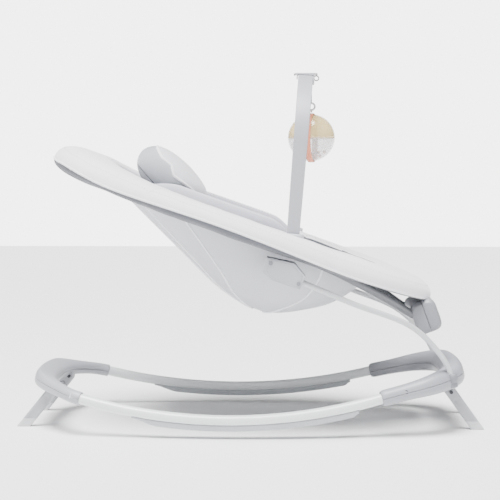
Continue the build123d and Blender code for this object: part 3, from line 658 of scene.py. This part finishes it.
def collar_ring(turn):
    """Section of the collar at a turn about the seat: flat-topped, steep at its mouth, higher at the head."""
    toward_head = max(-math.cos(turn), 0.0)
    toward_foot = max(math.cos(turn), 0.0)
    rest = parting(turn)
    crest = CREST + 0.017 * toward_head**4 - 0.0015 * toward_foot
    keel = KEEL - 0.0015 * toward_foot
    outer = Vector((COLLAR_HALF_L * math.cos(turn), COLLAR_HALF_W * math.sin(turn), 0))
    inner = Vector((MOUTH_HALF_L * math.cos(turn), MOUTH_HALF_W * math.sin(turn), 0))
    pinch = 1.0
    for seam in CROSS_SEAMS:
        pinch -= 0.05 * math.exp(-(((turn - seam) / 0.014) ** 2))
    ring = []
    for step in range(56):
        angle = math.tau * step / 56
        on_top = math.sin(angle) > 0
        power = (4.2 if math.cos(angle) < 0 else 2.4) if on_top else 2.2
        across, up = oval(0.5, 1.0, power, angle)
        height = up * (crest - rest) if on_top else up * (rest - keel)
        place = outer.lerp(inner, 0.5 - across * pinch)
        puff = noise.noise(Vector((place.x * 13, place.y * 13, up))) * 0.0018
        puff += noise.noise(Vector((place.x * 45, place.y * 45, 3 + up))) * 0.0006
        ring.append(seat(place.x, place.y, height * pinch + rest + puff * abs(up)))
    return ring


collar_knit = knit("collar_knit", tint(247, 246, 251), 0.0016, 0.00012)
# The dark grey cloth is painted shade: it stands for the shadow under the collar and inside its mouth.
collar_lining_painted_shade = knit("collar_lining_painted_shade", tint(90, 92, 99), 0.0014, 0.00012)
collar_rings = [collar_ring(math.tau * step / COLLAR_STEPS) for step in range(COLLAR_STEPS)]
collar = loft("collar", collar_rings, closed=True)
collar.data.materials.append(collar_knit)
collar.data.materials.append(collar_lining_painted_shade)
# Faces below the welt and on the mouth's inner wall take the dark cloth, as painted shade.
for face in collar.data.polygons:
    out = face.center - SEAT_MID
    turn = math.atan2(out.y / COLLAR_HALF_W, out.dot(SEAT_ALONG) / COLLAR_HALF_L)
    low = out.dot(SEAT_UP) < parting(turn) - 0.0012
    reach = math.hypot(out.dot(SEAT_ALONG) / MOUTH_HALF_L, out.y / MOUTH_HALF_W)
    in_shaded_mouth = reach < 1.035 and out.dot(SEAT_UP) < CREST - 0.006
    face.material_index = 1 if low or in_shaded_mouth else 0
bar_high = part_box("toy_bar_arch")[1]
BAR_LEAN = math.radians(4.5)
BAR_FOOT = Vector((0.075, 0, 0.324))
BAR_UP = Vector((math.sin(BAR_LEAN), 0, math.cos(BAR_LEAN)))
BAR_ACROSS = Vector((math.cos(BAR_LEAN), 0, -math.sin(BAR_LEAN)))
BAR_HALF_SPAN = bar_high.y - 0.0025
SLOT_HALF_L = 0.0145
SLOT_HALF_W = 0.0052
SLOT_SHARE = 36


def slot_ring(side, grow, height):
    """A stadium round a leg of the toy bar, at a height above the bar's foot."""
    ring = []
    for step in range(SLOT_SHARE):
        along, across = oval(SLOT_HALF_L + grow, SLOT_HALF_W + grow, 3.2, math.tau * step / SLOT_SHARE)
        ring.append(BAR_FOOT + BAR_UP * height + BAR_ACROSS * along
                    + Vector((0, side * BAR_HALF_SPAN + across, 0)))
    return ring


for side in SIDES.values():
    cut(collar, loft("slot", [slot_ring(side, 0.0, -0.05), slot_ring(side, 0.0, 0.12)]))
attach(collar, "seat")
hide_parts("rim_pad")


def collar_line(share_out, lift, steps=COLLAR_STEPS):
    """A line round the collar at a share of its width, a little off its parting seam."""
    line = []
    for step in range(steps):
        turn = math.tau * step / steps
        outer = Vector((COLLAR_HALF_L * math.cos(turn), COLLAR_HALF_W * math.sin(turn), 0))
        inner = Vector((MOUTH_HALF_L * math.cos(turn), MOUTH_HALF_W * math.sin(turn), 0))
        place = inner.lerp(outer, share_out)
        line.append(seat(place.x, place.y, parting(turn) + lift))
    return line


def thin_cord(name, line, up, radius, material, slot, closed=True):
    """A thin round cord sewn along a line of the seat's cover."""
    def profile(share):
        return [oval(radius, radius, 2.0, math.tau * step / 8) for step in range(8)]
    return belongs(sweep(name, line, up, profile, closed), material, "seat", slot)


def stitch_row(name, line, up, material, slot, length=0.0032, gap=0.0022, radius=0.00035):
    """A row of raised thread stitches along a line."""
    verts = []
    faces = []
    walked = 0.0
    for before, after in zip(line, line[1:]):
        span = (after - before).length
        walked += span
        if walked < length + gap:
            continue
        walked = 0.0
        along = (after - before).normalized()
        side = along.cross(up).normalized()
        first = len(verts)
        for share, size in ((-0.5, 0.3), (-0.25, 1.0), (0.25, 1.0), (0.5, 0.3)):
            centre = before + along * length * share
            for a, b in ((1, 0), (0.3, 1), (-0.3, 1), (-1, 0)):
                verts.append(centre + side * a * radius * 1.4 * size + up * b * radius * size)
        for row in range(3):
            for corner in range(3):
                low = first + row * 4 + corner
                faces.append((low, low + 1, low + 5, low + 4))
    mesh = bpy.data.meshes.new(name)
    mesh.from_pydata(verts, [], faces)
    mesh.polygons.foreach_set("use_smooth", [True] * len(mesh.polygons))
    row_piece = bpy.data.objects.new(name, mesh)
    bpy.context.scene.collection.objects.link(row_piece)
    return belongs(row_piece, material, "seat", slot)


def on_surface(piece, points, direction, lift, reach=0.06):
    """Drop points onto a piece along a direction, and leave them a little above it."""
    found = []
    for point in points:
        hit, place, _, _ = piece.ray_cast(point - direction * reach, direction)
        if hit:
            found.append(place - direction * lift)
    return found


welt_cloth = finish("welt_cloth", tint(244, 244, 249), 0.8, drift=0.02, grain=1200.0, relief=0.0001,
                    sheen=0.2)
thread = finish("thread", tint(196, 197, 205), 0.7, drift=0.03, grain=1500.0)
thin_cord("collar_outer_welt", collar_line(1.0, 0.0), SEAT_UP, 0.0018, welt_cloth, "rim_fabric")
thin_cord("collar_inner_welt", collar_line(0.0, 0.0), SEAT_UP, 0.0015, welt_cloth, "rim_fabric")
bpy.context.view_layer.update()
for label, share in (("outer", 0.90), ("inner", 0.12)):
    row = on_surface(collar, collar_line(share, 0.02, 1500), -SEAT_UP, 0.0001)
    stitch_row("collar_" + label + "_stitches", row, SEAT_UP, thread, "rim_fabric")
for number, turn in enumerate(CROSS_SEAMS):
    across_line = []
    for step in range(220):
        share = 0.05 + 0.9 * step / 219
        half_l = MOUTH_HALF_L + (COLLAR_HALF_L - MOUTH_HALF_L) * share
        half_w = MOUTH_HALF_W + (COLLAR_HALF_W - MOUTH_HALF_W) * share
        across_line.append(seat(half_l * math.cos(turn + 0.02), half_w * math.sin(turn + 0.02), 0.02))
    row = on_surface(collar, across_line, -SEAT_UP, 0.0001)
    stitch_row("collar_seam_stitches_" + str(number + 1), row, SEAT_UP, thread, "rim_fabric")
grommet_plastic = finish("grommet_plastic", tint(196, 197, 202), 0.5, drift=0.02)
bpy.context.view_layer.update()
for side_name, side in SIDES.items():
    above = BAR_FOOT + BAR_UP * 0.15 + Vector((0, side * BAR_HALF_SPAN + 0.0085, 0))
    hit, point, _, _ = collar.ray_cast(above, -BAR_UP)
    height = (point - BAR_FOOT).dot(BAR_UP) if hit else 0.02
    grommet = loft("bar_grommet_" + side_name,
                   [slot_ring(side, 0.0, height - 0.006), slot_ring(side, 0.0, height + 0.0016),
                    slot_ring(side, 0.0012, height + 0.0026), slot_ring(side, 0.0034, height + 0.0020),
                    slot_ring(side, 0.0042, height - 0.0005), slot_ring(side, 0.0040, height - 0.006)],
                   closed=True)
    belongs(grommet, grommet_plastic, "seat", "bracket_plastic")

# ---- Sling --------------------------------------------------------------------------------
# A hammock of thin, slightly see-through cloth that hangs from the frame tube under the
# collar. It is sewn from two sides and a centre panel, with white cord in the seams.

SLING_OVALS = ((-0.012, -0.2385, 0.2395, 0.1205), (-0.040, -0.180, 0.232, 0.116),
               (-0.084, -0.086, 0.196, 0.102), (-0.118, -0.014, 0.142, 0.076),
               (-0.134, 0.040, 0.106, 0.040), (-0.138, 0.070, 0.080, 0.008))


def bowl_point(turn, depth, inset=0.0):
    """A point of the hanging seat: depth 0 at its mouth, 1 at its lowest, drawn in by an inset."""
    rows = len(SLING_OVALS) - 1
    position = min(depth, 0.9999) * rows
    index = int(position)
    share = position - index
    found = []
    for column in range(4):
        near = [SLING_OVALS[min(max(index + offset, 0), rows)][column] for offset in (-1, 0, 1, 2)]
        a, b, c, d = near
        found.append(0.5 * (2 * b + (c - a) * share + (2 * a - 5 * b + 4 * c - d) * share**2
                            + (3 * b - a - 3 * c + d) * share**3))
    height, head, foot, half_w = found
    half_l = max((foot - head) / 2 - inset, 0.001)
    half_w = max(half_w - inset, 0.001)
    across = half_w * math.sin(turn)
    return (head + foot) / 2 + half_l * math.cos(turn), across, height + inset * depth


def bowl_skin(name, inset, turns, depths, low=0.0):
    """A grid over the hanging seat, from its mouth down to its lowest point."""
    rings = []
    for row in range(depths + 1):
        depth = low + (1 - low) * row / depths
        rings.append([seat(*bowl_point(math.tau * step / turns, depth, inset)) for step in range(turns)])
    return loft(name, rings, open_start=True)


sling_cloth = knit("sling_cloth", tint(214, 215, 221), 0.0012, 0.00008, dimples=0.004, dimple_scale=9.0,
                   alpha=0.88)
sling = bowl_skin("sling_cloth_panel", 0.0, 120, 40)
sling.data.materials.append(sling_cloth)
sling_t = sling.modifiers.new("cloth", "SOLIDIFY")
sling_t.thickness = 0.0012
sling_t.offset = 0
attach(sling, "seat")
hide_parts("sling")
SEAM_TURNS = (math.radians(118), math.radians(146), math.radians(166), math.radians(50))
for side_name, side in SIDES.items():
    for number, turn in enumerate(SEAM_TURNS):
        line = [seat(*bowl_point(side * turn, 0.02 + 0.88 * step / 30, -0.0012)) for step in range(31)]
        thin_cord("sling_seam_" + side_name + "_" + str(number + 1), line, Vector((0, 1, 0.02)), 0.0017,
                  welt_cloth, "sling_fabric", closed=False)

# ---- Seat lining --------------------------------------------------------------------------
# The padded lining lies in the sling: soft foam quilted in cross channels, with a raised
# bolster along each side of the mouth. Its cloth is a grey-lavender jersey.

LINING_GAP = 0.0032
LINING_T = 0.0095
CHANNEL = 0.040
LINING_TURNS = 144


def lining_edge(turn):
    """How far the bolster stands above the seat plane at a turn about the mouth."""
    along = MOUTH_HALF_L * math.cos(turn)
    return 0.004 + 0.026 * ease(along, -0.235, -0.13) * (1 - ease(along, 0.045, 0.13))


def lining_rings():
    rings = []
    for row in range(31):
        depth = 1 - row / 30
        rings.append([seat(*bowl_point(math.tau * step / LINING_TURNS, depth, LINING_GAP))
                      for step in range(LINING_TURNS)])
    for row in range(1, 9):
        ring = []
        for step in range(LINING_TURNS):
            turn = math.tau * step / LINING_TURNS
            angle = math.pi * row / 9
            along, across, _ = bowl_point(turn, 0.0, LINING_GAP + LINING_T * 0.6 * (1 - math.cos(angle)))
            lift = (lining_edge(turn) + 0.012) * math.sin(angle) ** 0.7
            ring.append(seat(along, across, -0.012 + lift))
        rings.append(ring)
    for row in range(31):
        depth = row / 30
        ring = []
        for step in range(LINING_TURNS):
            turn = math.tau * step / LINING_TURNS
            along, across, up = bowl_point(turn, depth, LINING_GAP + LINING_T)
            swell = abs(math.sin(math.pi * along / CHANNEL)) ** 0.6
            fade = ease(depth, 0.0, 0.12)
            along, across, up = bowl_point(turn, depth, LINING_GAP + LINING_T * (1 + 0.45 * swell * fade))
            ring.append(seat(along, across, up))
        rings.append(ring)
    return rings


lining_jersey = knit("lining_jersey", tint(196, 196, 206), 0.0013, 0.0001, dimples=0.0022, dimple_scale=22.0)
lining = loft("seat_lining", lining_rings())
belongs(lining, lining_jersey, "seat", "liner_fabric", "seat_liner")

# ---- Head pillow --------------------------------------------------------------------------
# A stuffed head support that stands in the head end of the mouth. Its back is blue-grey
# fleece and its front a light jersey, joined by a white welt that waves along the edge.

PILLOW_HALF_W = 0.084
PILLOW_TURNS = 108
PILLOW_OUTLINE = ((-0.172, 0.498), (-0.145, 0.488), (-0.112, 0.461), (-0.087, 0.429), (-0.080, 0.410),
                  (-0.082, 0.395), (-0.107, 0.391), (-0.147, 0.400), (-0.187, 0.426), (-0.205, 0.462),
                  (-0.196, 0.489))
PILLOW_WELT = ((-0.167, 0.497), (-0.154, 0.476), (-0.136, 0.461), (-0.131, 0.443), (-0.115, 0.431),
               (-0.100, 0.418), (-0.082, 0.395))
PILLOW_SEAM = ((-0.201, 0.465), (-0.189, 0.453), (-0.178, 0.441), (-0.165, 0.427))
pillow_mid = Vector((-0.142, 0, 0.441))


def pillow_station(share):
    """The pillow's side outline, drawn in towards its middle as it nears an end."""
    corners = [Vector((x, 0, z)) for x, z in PILLOW_OUTLINE]
    count = len(corners)
    size = (1 - abs(share) ** 2.5) ** (1 / 2.5)
    ring = []
    for step in range(PILLOW_TURNS):
        position = step * count / PILLOW_TURNS
        index = int(position)
        part = position - index
        a, b, c, d = [corners[(index + offset) % count] for offset in (-1, 0, 1, 2)]
        point = 0.5 * (2 * b + (c - a) * part + (2 * a - 5 * b + 4 * c - d) * part**2
                       + (3 * b - a - 3 * c + d) * part**3)
        point = pillow_mid + (point - pillow_mid) * size
        ring.append(Vector((point.x, share * PILLOW_HALF_W, point.z)))
    return ring


def welt_x(height):
    """Where the wavy seam between back and front lies at a height, seen from the side."""
    for (x_high, z_high), (x_low, z_low) in zip(PILLOW_WELT, PILLOW_WELT[1:]):
        if height >= z_low:
            return x_low + (x_high - x_low) * (height - z_low) / (z_high - z_low)
    return PILLOW_WELT[-1][0]


def on_both_flanks(piece, corners, count):
    """Two lines over the sides of a piece, along a side-view line, each as points on its skin."""
    route = even([Vector((x, 0, z)) for x, z in corners], count)
    lines = []
    for side in SIDES.values():
        line = []
        for point in route:
            centred = pillow_mid + (point - pillow_mid) * 0.985
            hit, place, _, _ = piece.ray_cast(centred + Vector((0, side * 0.2, 0)), Vector((0, -side, 0)))
            if hit:
                line.append(place)
        lines.append(line)
    return lines


def inflate(piece, voxel, pressure, cap):
    """Settle a closed cover under a little air; it moves by a millimetre or two and keeps its shape."""
    remesh = piece.modifiers.new("remesh", "REMESH")
    remesh.mode = "VOXEL"
    remesh.voxel_size = voxel
    bpy.context.view_layer.update()
    graph = bpy.context.evaluated_depsgraph_get()
    piece.data = bpy.data.meshes.new_from_object(piece.evaluated_get(graph))
    piece.modifiers.clear()
    rest = [vertex.co.copy() for vertex in piece.data.vertices]
    cloth = piece.modifiers.new("cloth", "CLOTH")
    cloth.settings.use_pressure = True
    cloth.settings.uniform_pressure_force = pressure
    cloth.settings.effector_weights.gravity = 0
    cloth.settings.mass = 0.2
    cloth.point_cache.frame_start = 1
    cloth.point_cache.frame_end = 20
    for number in range(1, 21):
        bpy.context.scene.frame_set(number)
    graph = bpy.context.evaluated_depsgraph_get()
    blown = bpy.data.meshes.new_from_object(piece.evaluated_get(graph))
    piece.modifiers.clear()
    for vertex, start in zip(blown.vertices, rest):
        step = vertex.co - start
        if step.length > cap:
            vertex.co = start + step * (cap / step.length)
    piece.data = blown
    bpy.context.scene.frame_set(1)


def subdivide(piece, levels):
    rounder = piece.modifiers.new("rounder", "SUBSURF")
    rounder.levels = levels
    rounder.render_levels = levels
    bpy.context.view_layer.update()
    graph = bpy.context.evaluated_depsgraph_get()
    piece.data = bpy.data.meshes.new_from_object(piece.evaluated_get(graph))
    piece.modifiers.clear()
    piece.data.polygons.foreach_set("use_smooth", [True] * len(piece.data.polygons))


pillow_rings = [pillow_station(math.sin(math.radians(row * 5.8))) for row in range(-15, 16)]
pillow = loft("head_pillow_cover", pillow_rings)
inflate(pillow, 0.005, 4.0, 0.003)
subdivide(pillow, 1)
pillow_fleece = knit("pillow_fleece", tint(164, 168, 174), 0.0015, 0.00014, dimples=0.0025, dimple_scale=26.0,
                     drift=0.035, sheen=0.5)
pillow_jersey = knit("pillow_jersey", tint(214, 215, 221), 0.0013, 0.0001, dimples=0.002, dimple_scale=30.0)
pillow.data.materials.clear()
pillow.data.materials.append(pillow_fleece)
pillow.data.materials.append(pillow_jersey)
for face in pillow.data.polygons:
    face.material_index = 1 if face.center.x > welt_x(face.center.z) else 0
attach(pillow, "seat")
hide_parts("head_pillow")
bpy.context.view_layer.update()
# The pillow's back seam cord uses the same dark grey cloth that paints the collar's shade.
for label, corners, radius, material in (("welt", PILLOW_WELT, 0.0026, welt_cloth),
                                         ("back_seam", PILLOW_SEAM, 0.0009, collar_lining_painted_shade)):
    near, far = on_both_flanks(pillow, corners, 60)
    for side_name, line in zip(SIDES, (near, far)):
        thin_cord("pillow_" + label + "_" + side_name, line, Vector((0, 1, 0)), radius, material,
                  "pillow_fabric", closed=False)

# ---- Harness ------------------------------------------------------------------------------
# Woven webbing holds the baby: one strap up from the foot end and one from each side, all
# snapped into a moulded buckle with a square release button.

STRAP_HALF_W = 0.0125
STRAP_HALF_T = 0.0009


def webbing(name, points, across, node):
    """A flat woven strap along a smooth line, a little thicker at its selvedges."""
    line = even(smooth([seat(*point) for point in points], 14), 60)
    profile = []
    for step in range(28):
        side, up = oval(STRAP_HALF_W, STRAP_HALF_T, 3.5, math.tau * step / 28)
        edge = 1 + 0.35 * ease(abs(side) / STRAP_HALF_W, 0.72, 0.86)
        profile.append((side, up * edge))
    strap = sweep(name, line, across, lambda share: profile)
    belongs(strap, strap_weave, "seat", "strap_webbing", node)
    return strap


strap_weave = knit("strap_weave", tint(150, 153, 160), 0.0018, 0.00022, dimples=0.0006, dimple_scale=60.0)
for side_name, side in SIDES.items():
    webbing("waist_webbing_" + side_name,
            ((0.055, side * 0.0285, -0.0838), (0.055, side * 0.050, -0.0855), (0.054, side * 0.072, -0.0845),
             (0.053, side * 0.094, -0.0745)), SEAT_UP, "waist_strap_" + side_name)
webbing("crotch_webbing",
        ((0.0775, 0, -0.0838), (0.105, 0, -0.0865), (0.135, 0, -0.0840), (0.168, 0, -0.0760)),
        SEAT_UP, "crotch_strap")
buckle_plastic = finish("buckle_plastic", tint(112, 114, 120), 0.38, drift=0.02, grain=1000.0, relief=0.00005)
release_plastic = finish("release_plastic", tint(196, 120, 96), 0.4, drift=0.02)
dress(buckle_plastic, "buckle_plastic", "buckle_body", "buckle_tongue_left", "buckle_tongue_right",
      edge=0.0015)
dress(release_plastic, "buckle_button", "buckle_button", edge=0.0012)

# ---- Control unit -------------------------------------------------------------------------
# A rounded plastic housing under the foot end holds the cells, the circuit board and the
# vibration motor. Two push buttons stand out of its front, and a door closes the cells.

BOX_HALF_L = 0.023
BOX_HALF_H = 0.029
BOX_TILT = math.radians(20)
BOX_HALF_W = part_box("control_housing_front")[1].y
BOX_MID = Vector((0.311, 0, 0.196))
BOX_FRONT = Vector((math.cos(BOX_TILT), 0, math.sin(BOX_TILT)))
BOX_UP = Vector((-math.sin(BOX_TILT), 0, math.cos(BOX_TILT)))
control_plastic = finish("control_plastic", tint(138, 139, 145), 0.42, drift=0.025, grain=900.0,
                         relief=0.00006)


def housing_half(name, start, node):
    """Front or rear shell of the housing, rounded towards both ends."""
    rings = []
    for row in range(49):
        across = -1 + 2 * row / 48
        slim = 1 - 0.20 * ease(abs(across), 0.86, 1.0) ** 2
        ring = []
        for step in range(29):
            angle = start + math.pi * step / 28
            deep, high = oval(BOX_HALF_L * slim, BOX_HALF_H * slim, 4.2, angle)
            seam = 0.00025 if start < 0 else -0.00025
            ring.append(BOX_MID + BOX_FRONT * (deep + seam) + BOX_UP * high
                        + Vector((0, across * BOX_HALF_W, 0)))
        rings.append(ring)
    shell = loft(name, rings)
    shell.data.materials.append(control_plastic)
    edges = shell.modifiers.new("edges", "BEVEL")
    edges.width = 0.0016
    edges.segments = 3
    edges.limit_method = "ANGLE"
    edges.angle_limit = math.radians(45)
    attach(shell, "seat")
    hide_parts(node)
    return shell


housing_half("control_front_shell", -math.pi / 2, "control_housing_front")
housing_half("control_rear_shell", math.pi / 2, "control_housing_rear")
key_plastic = finish("key_plastic", tint(228, 229, 232), 0.35, drift=0.02)
dress(key_plastic, "button_plastic", "power_button", "sound_button", edge=0.0009)
dress(control_plastic, "control_plastic", "battery_door", edge=0.0008)
dress(finish("board_green", tint(64, 112, 74), 0.4, drift=0.08), "board", "circuit_board", edge=0.0002)
dress(finish("cell_jacket", tint(70, 72, 78), 0.3, drift=0.05), "cell", "batteries", edge=0.001)
dress(finish("motor_steel", tint(168, 170, 174), 0.32, drift=0.04, metal=0.9), "motor_steel",
      "vibration_motor", "vibration_weight", edge=0.0006)

# ---- Toy bar ------------------------------------------------------------------------------
# A flat strap of grey plastic, bent into an arch over the seat. Its feet plug into the side
# brackets and lift out. A moulded clip sits on its crown and holds the toy's ribbon.

bar_plastic = finish("bar_plastic", tint(172, 173, 180), 0.46, drift=0.02, grain=700.0, relief=0.00005)
dress(bar_plastic, "bar_plastic", "toy_bar_arch", edge=0.0012)
clip_plastic = finish("clip_plastic", tint(206, 207, 212), 0.4, drift=0.02)
dress(clip_plastic, "bar_plastic", "toy_bar_clip", edge=0.0007)
clip_low, clip_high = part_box("toy_bar_clip")
CLIP_OVERHANG = 0.0035
CLIP_HALF_T = 0.0012
clip_mid_y = (clip_low.y + clip_high.y) / 2
clip_half_w = (clip_high.y - clip_low.y) / 2
plate_line = [Vector((clip_low.x - CLIP_OVERHANG, clip_mid_y, clip_high.z - 0.0030)),
              Vector((clip_low.x, clip_mid_y, clip_high.z - CLIP_HALF_T)),
              Vector((clip_high.x, clip_mid_y, clip_high.z - CLIP_HALF_T)),
              Vector((clip_high.x + CLIP_OVERHANG, clip_mid_y, clip_high.z - 0.0030))]


def plate(share):
    return [oval(clip_half_w * 0.96, CLIP_HALF_T, 5.0, math.tau * step / 24) for step in range(24)]


top_plate = sweep("clip_top_plate", smooth(plate_line, 10), Vector((0, 0, 1)), plate)
belongs(top_plate, clip_plastic, "toy_bar", "bar_plastic")
LOOP_R = 0.0042
loop_mid = Vector((clip_high.x + CLIP_OVERHANG - 0.001, clip_mid_y, clip_high.z - 0.0088))
loop_line = [loop_mid + Vector((math.cos(math.tau * step / 28), 0, math.sin(math.tau * step / 28))) * LOOP_R
             for step in range(28)]
clip_loop = sweep("clip_loop", loop_line, Vector((0, 1, 0)), round_bar(0.0011), closed=True)
belongs(clip_loop, sleeve_plastic, "toy_bar", "bar_plastic")

# ---- Hanging toy --------------------------------------------------------------------------
# A hollow ball of two clear shells, the upper one honey yellow, with a disc between them and
# beads inside. A salmon belt holds the shells together and hangs from a grey ribbon.

ribbon_weave = knit("ribbon_weave", tint(84, 86, 92), 0.0012, 0.0001, dimples=0.0004)
dress(ribbon_weave, "ribbon_fabric", "toy_ribbon", edge=0.0003)
dress(clip_plastic, "belt_plastic", "toy_link", edge=0.0003)
belt_plastic = finish("belt_plastic", tint(240, 150, 116), 0.45, drift=0.03)
belt_low, belt_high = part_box("ball_belt")
BELT_TURN = math.radians(10)
BELT_HALF_W = 0.0052
BELT_HALF_T = 0.0011
belt_mid = (belt_low + belt_high) / 2
belt_mid.z = belt_low.z + (belt_high.y - belt_low.y) / 2
belt_r = (belt_high.y - belt_low.y) / 2 - BELT_HALF_T
belt_across = Vector((math.sin(BELT_TURN), math.cos(BELT_TURN), 0))
belt_axis = belt_across.cross(Vector((0, 0, 1)))
belt_line = [belt_mid + (belt_across * math.cos(math.tau * step / 96)
                         + Vector((0, 0, 1)) * math.sin(math.tau * step / 96)) * belt_r for step in range(96)]


def belt_section(share):
    return [oval(BELT_HALF_T, BELT_HALF_W, 3.0, math.tau * step / 20) for step in range(20)]


belt = sweep("belt_ring", belt_line, belt_axis, belt_section, closed=True)
belongs(belt, belt_plastic, "toy_ball", "belt_plastic", "ball_belt")
dress(finish("ball_yellow", tint(250, 226, 164), 0.12, drift=0.02, relief=0.00001, coat=0.6, alpha=0.62),
      "ball_yellow", "ball_upper", edge=0)
dress(finish("ball_clear", tint(238, 238, 240), 0.10, drift=0.02, relief=0.00001, coat=0.6, alpha=0.34),
      "ball_clear", "ball_lower", edge=0)
dress(finish("divider_tan", tint(226, 200, 150), 0.4, drift=0.04), "ball_yellow", "ball_divider", edge=0.0003)
dress(finish("bead_peach", tint(246, 178, 132), 0.3, drift=0.08), "bead_plastic", "ball_beads", edge=0)

# ---- Studio -------------------------------------------------------------------------------
# A seamless pale floor, a bright even sky, a soft lamp from above on the near side
# and a broad overhead sun. The camera stands level with the seat, on its near side.

FLOOR_HALF = 6.0
floor_mesh = bpy.data.meshes.new("floor")
floor_mesh.from_pydata([(-FLOOR_HALF, -FLOOR_HALF, 0), (FLOOR_HALF, -FLOOR_HALF, 0),
                        (FLOOR_HALF, FLOOR_HALF, 0), (-FLOOR_HALF, FLOOR_HALF, 0)], [], [(0, 1, 2, 3)])
floor = bpy.data.objects.new("floor", floor_mesh)
bpy.context.scene.collection.objects.link(floor)
floor.location.z = cad_low.z - 0.0005
floor.data.materials.append(finish("floor_paper", tint(250, 250, 250), 0.9, drift=0.004, relief=0.00001))

sky = bpy.data.worlds.new("sky")
sky.use_nodes = True
sky_light = sky.node_tree.nodes["Background"]
sky_light.inputs["Color"].default_value = (1, 1, 1, 1)
ray = sky.node_tree.nodes.new("ShaderNodeLightPath")
strength = sky.node_tree.nodes.new("ShaderNodeMapRange")
strength.inputs["To Min"].default_value = 0.32
strength.inputs["To Max"].default_value = 5.2
sky.node_tree.links.new(ray.outputs["Is Camera Ray"], strength.inputs["Value"])
sky.node_tree.links.new(strength.outputs["Result"], sky_light.inputs["Strength"])
bpy.context.scene.world = sky


def softbox(name, place, target, size, power):
    lamp = bpy.data.lights.new(name, "AREA")
    lamp.shape = "DISK"
    lamp.size = size
    lamp.energy = power
    holder = bpy.data.objects.new(name, lamp)
    holder.location = place
    holder.rotation_euler = (Vector(target) - Vector(place)).to_track_quat("-Z", "Y").to_euler()
    bpy.context.scene.collection.objects.link(holder)


softbox("top_softbox", (-0.35, -0.35, 2.4), (0, 0, 0.25), 1.3, 26)
sun_light = bpy.data.lights.new("overhead", "SUN")
sun_light.energy = 10.0
sun_light.angle = math.radians(35)
sun = bpy.data.objects.new("overhead", sun_light)
sun.rotation_euler = (math.radians(14), math.radians(-6), 0)
bpy.context.scene.collection.objects.link(sun)

camera_data = bpy.data.cameras.new("camera")
camera_data.lens = 87.47
camera_data.sensor_width = 36.0
camera = bpy.data.objects.new("camera", camera_data)
camera.location = (0.079, -2.2, 0.432)
camera.rotation_euler = (math.radians(86.81), 0, math.radians(2.10))
bpy.context.scene.collection.objects.link(camera)
bpy.context.scene.camera = camera
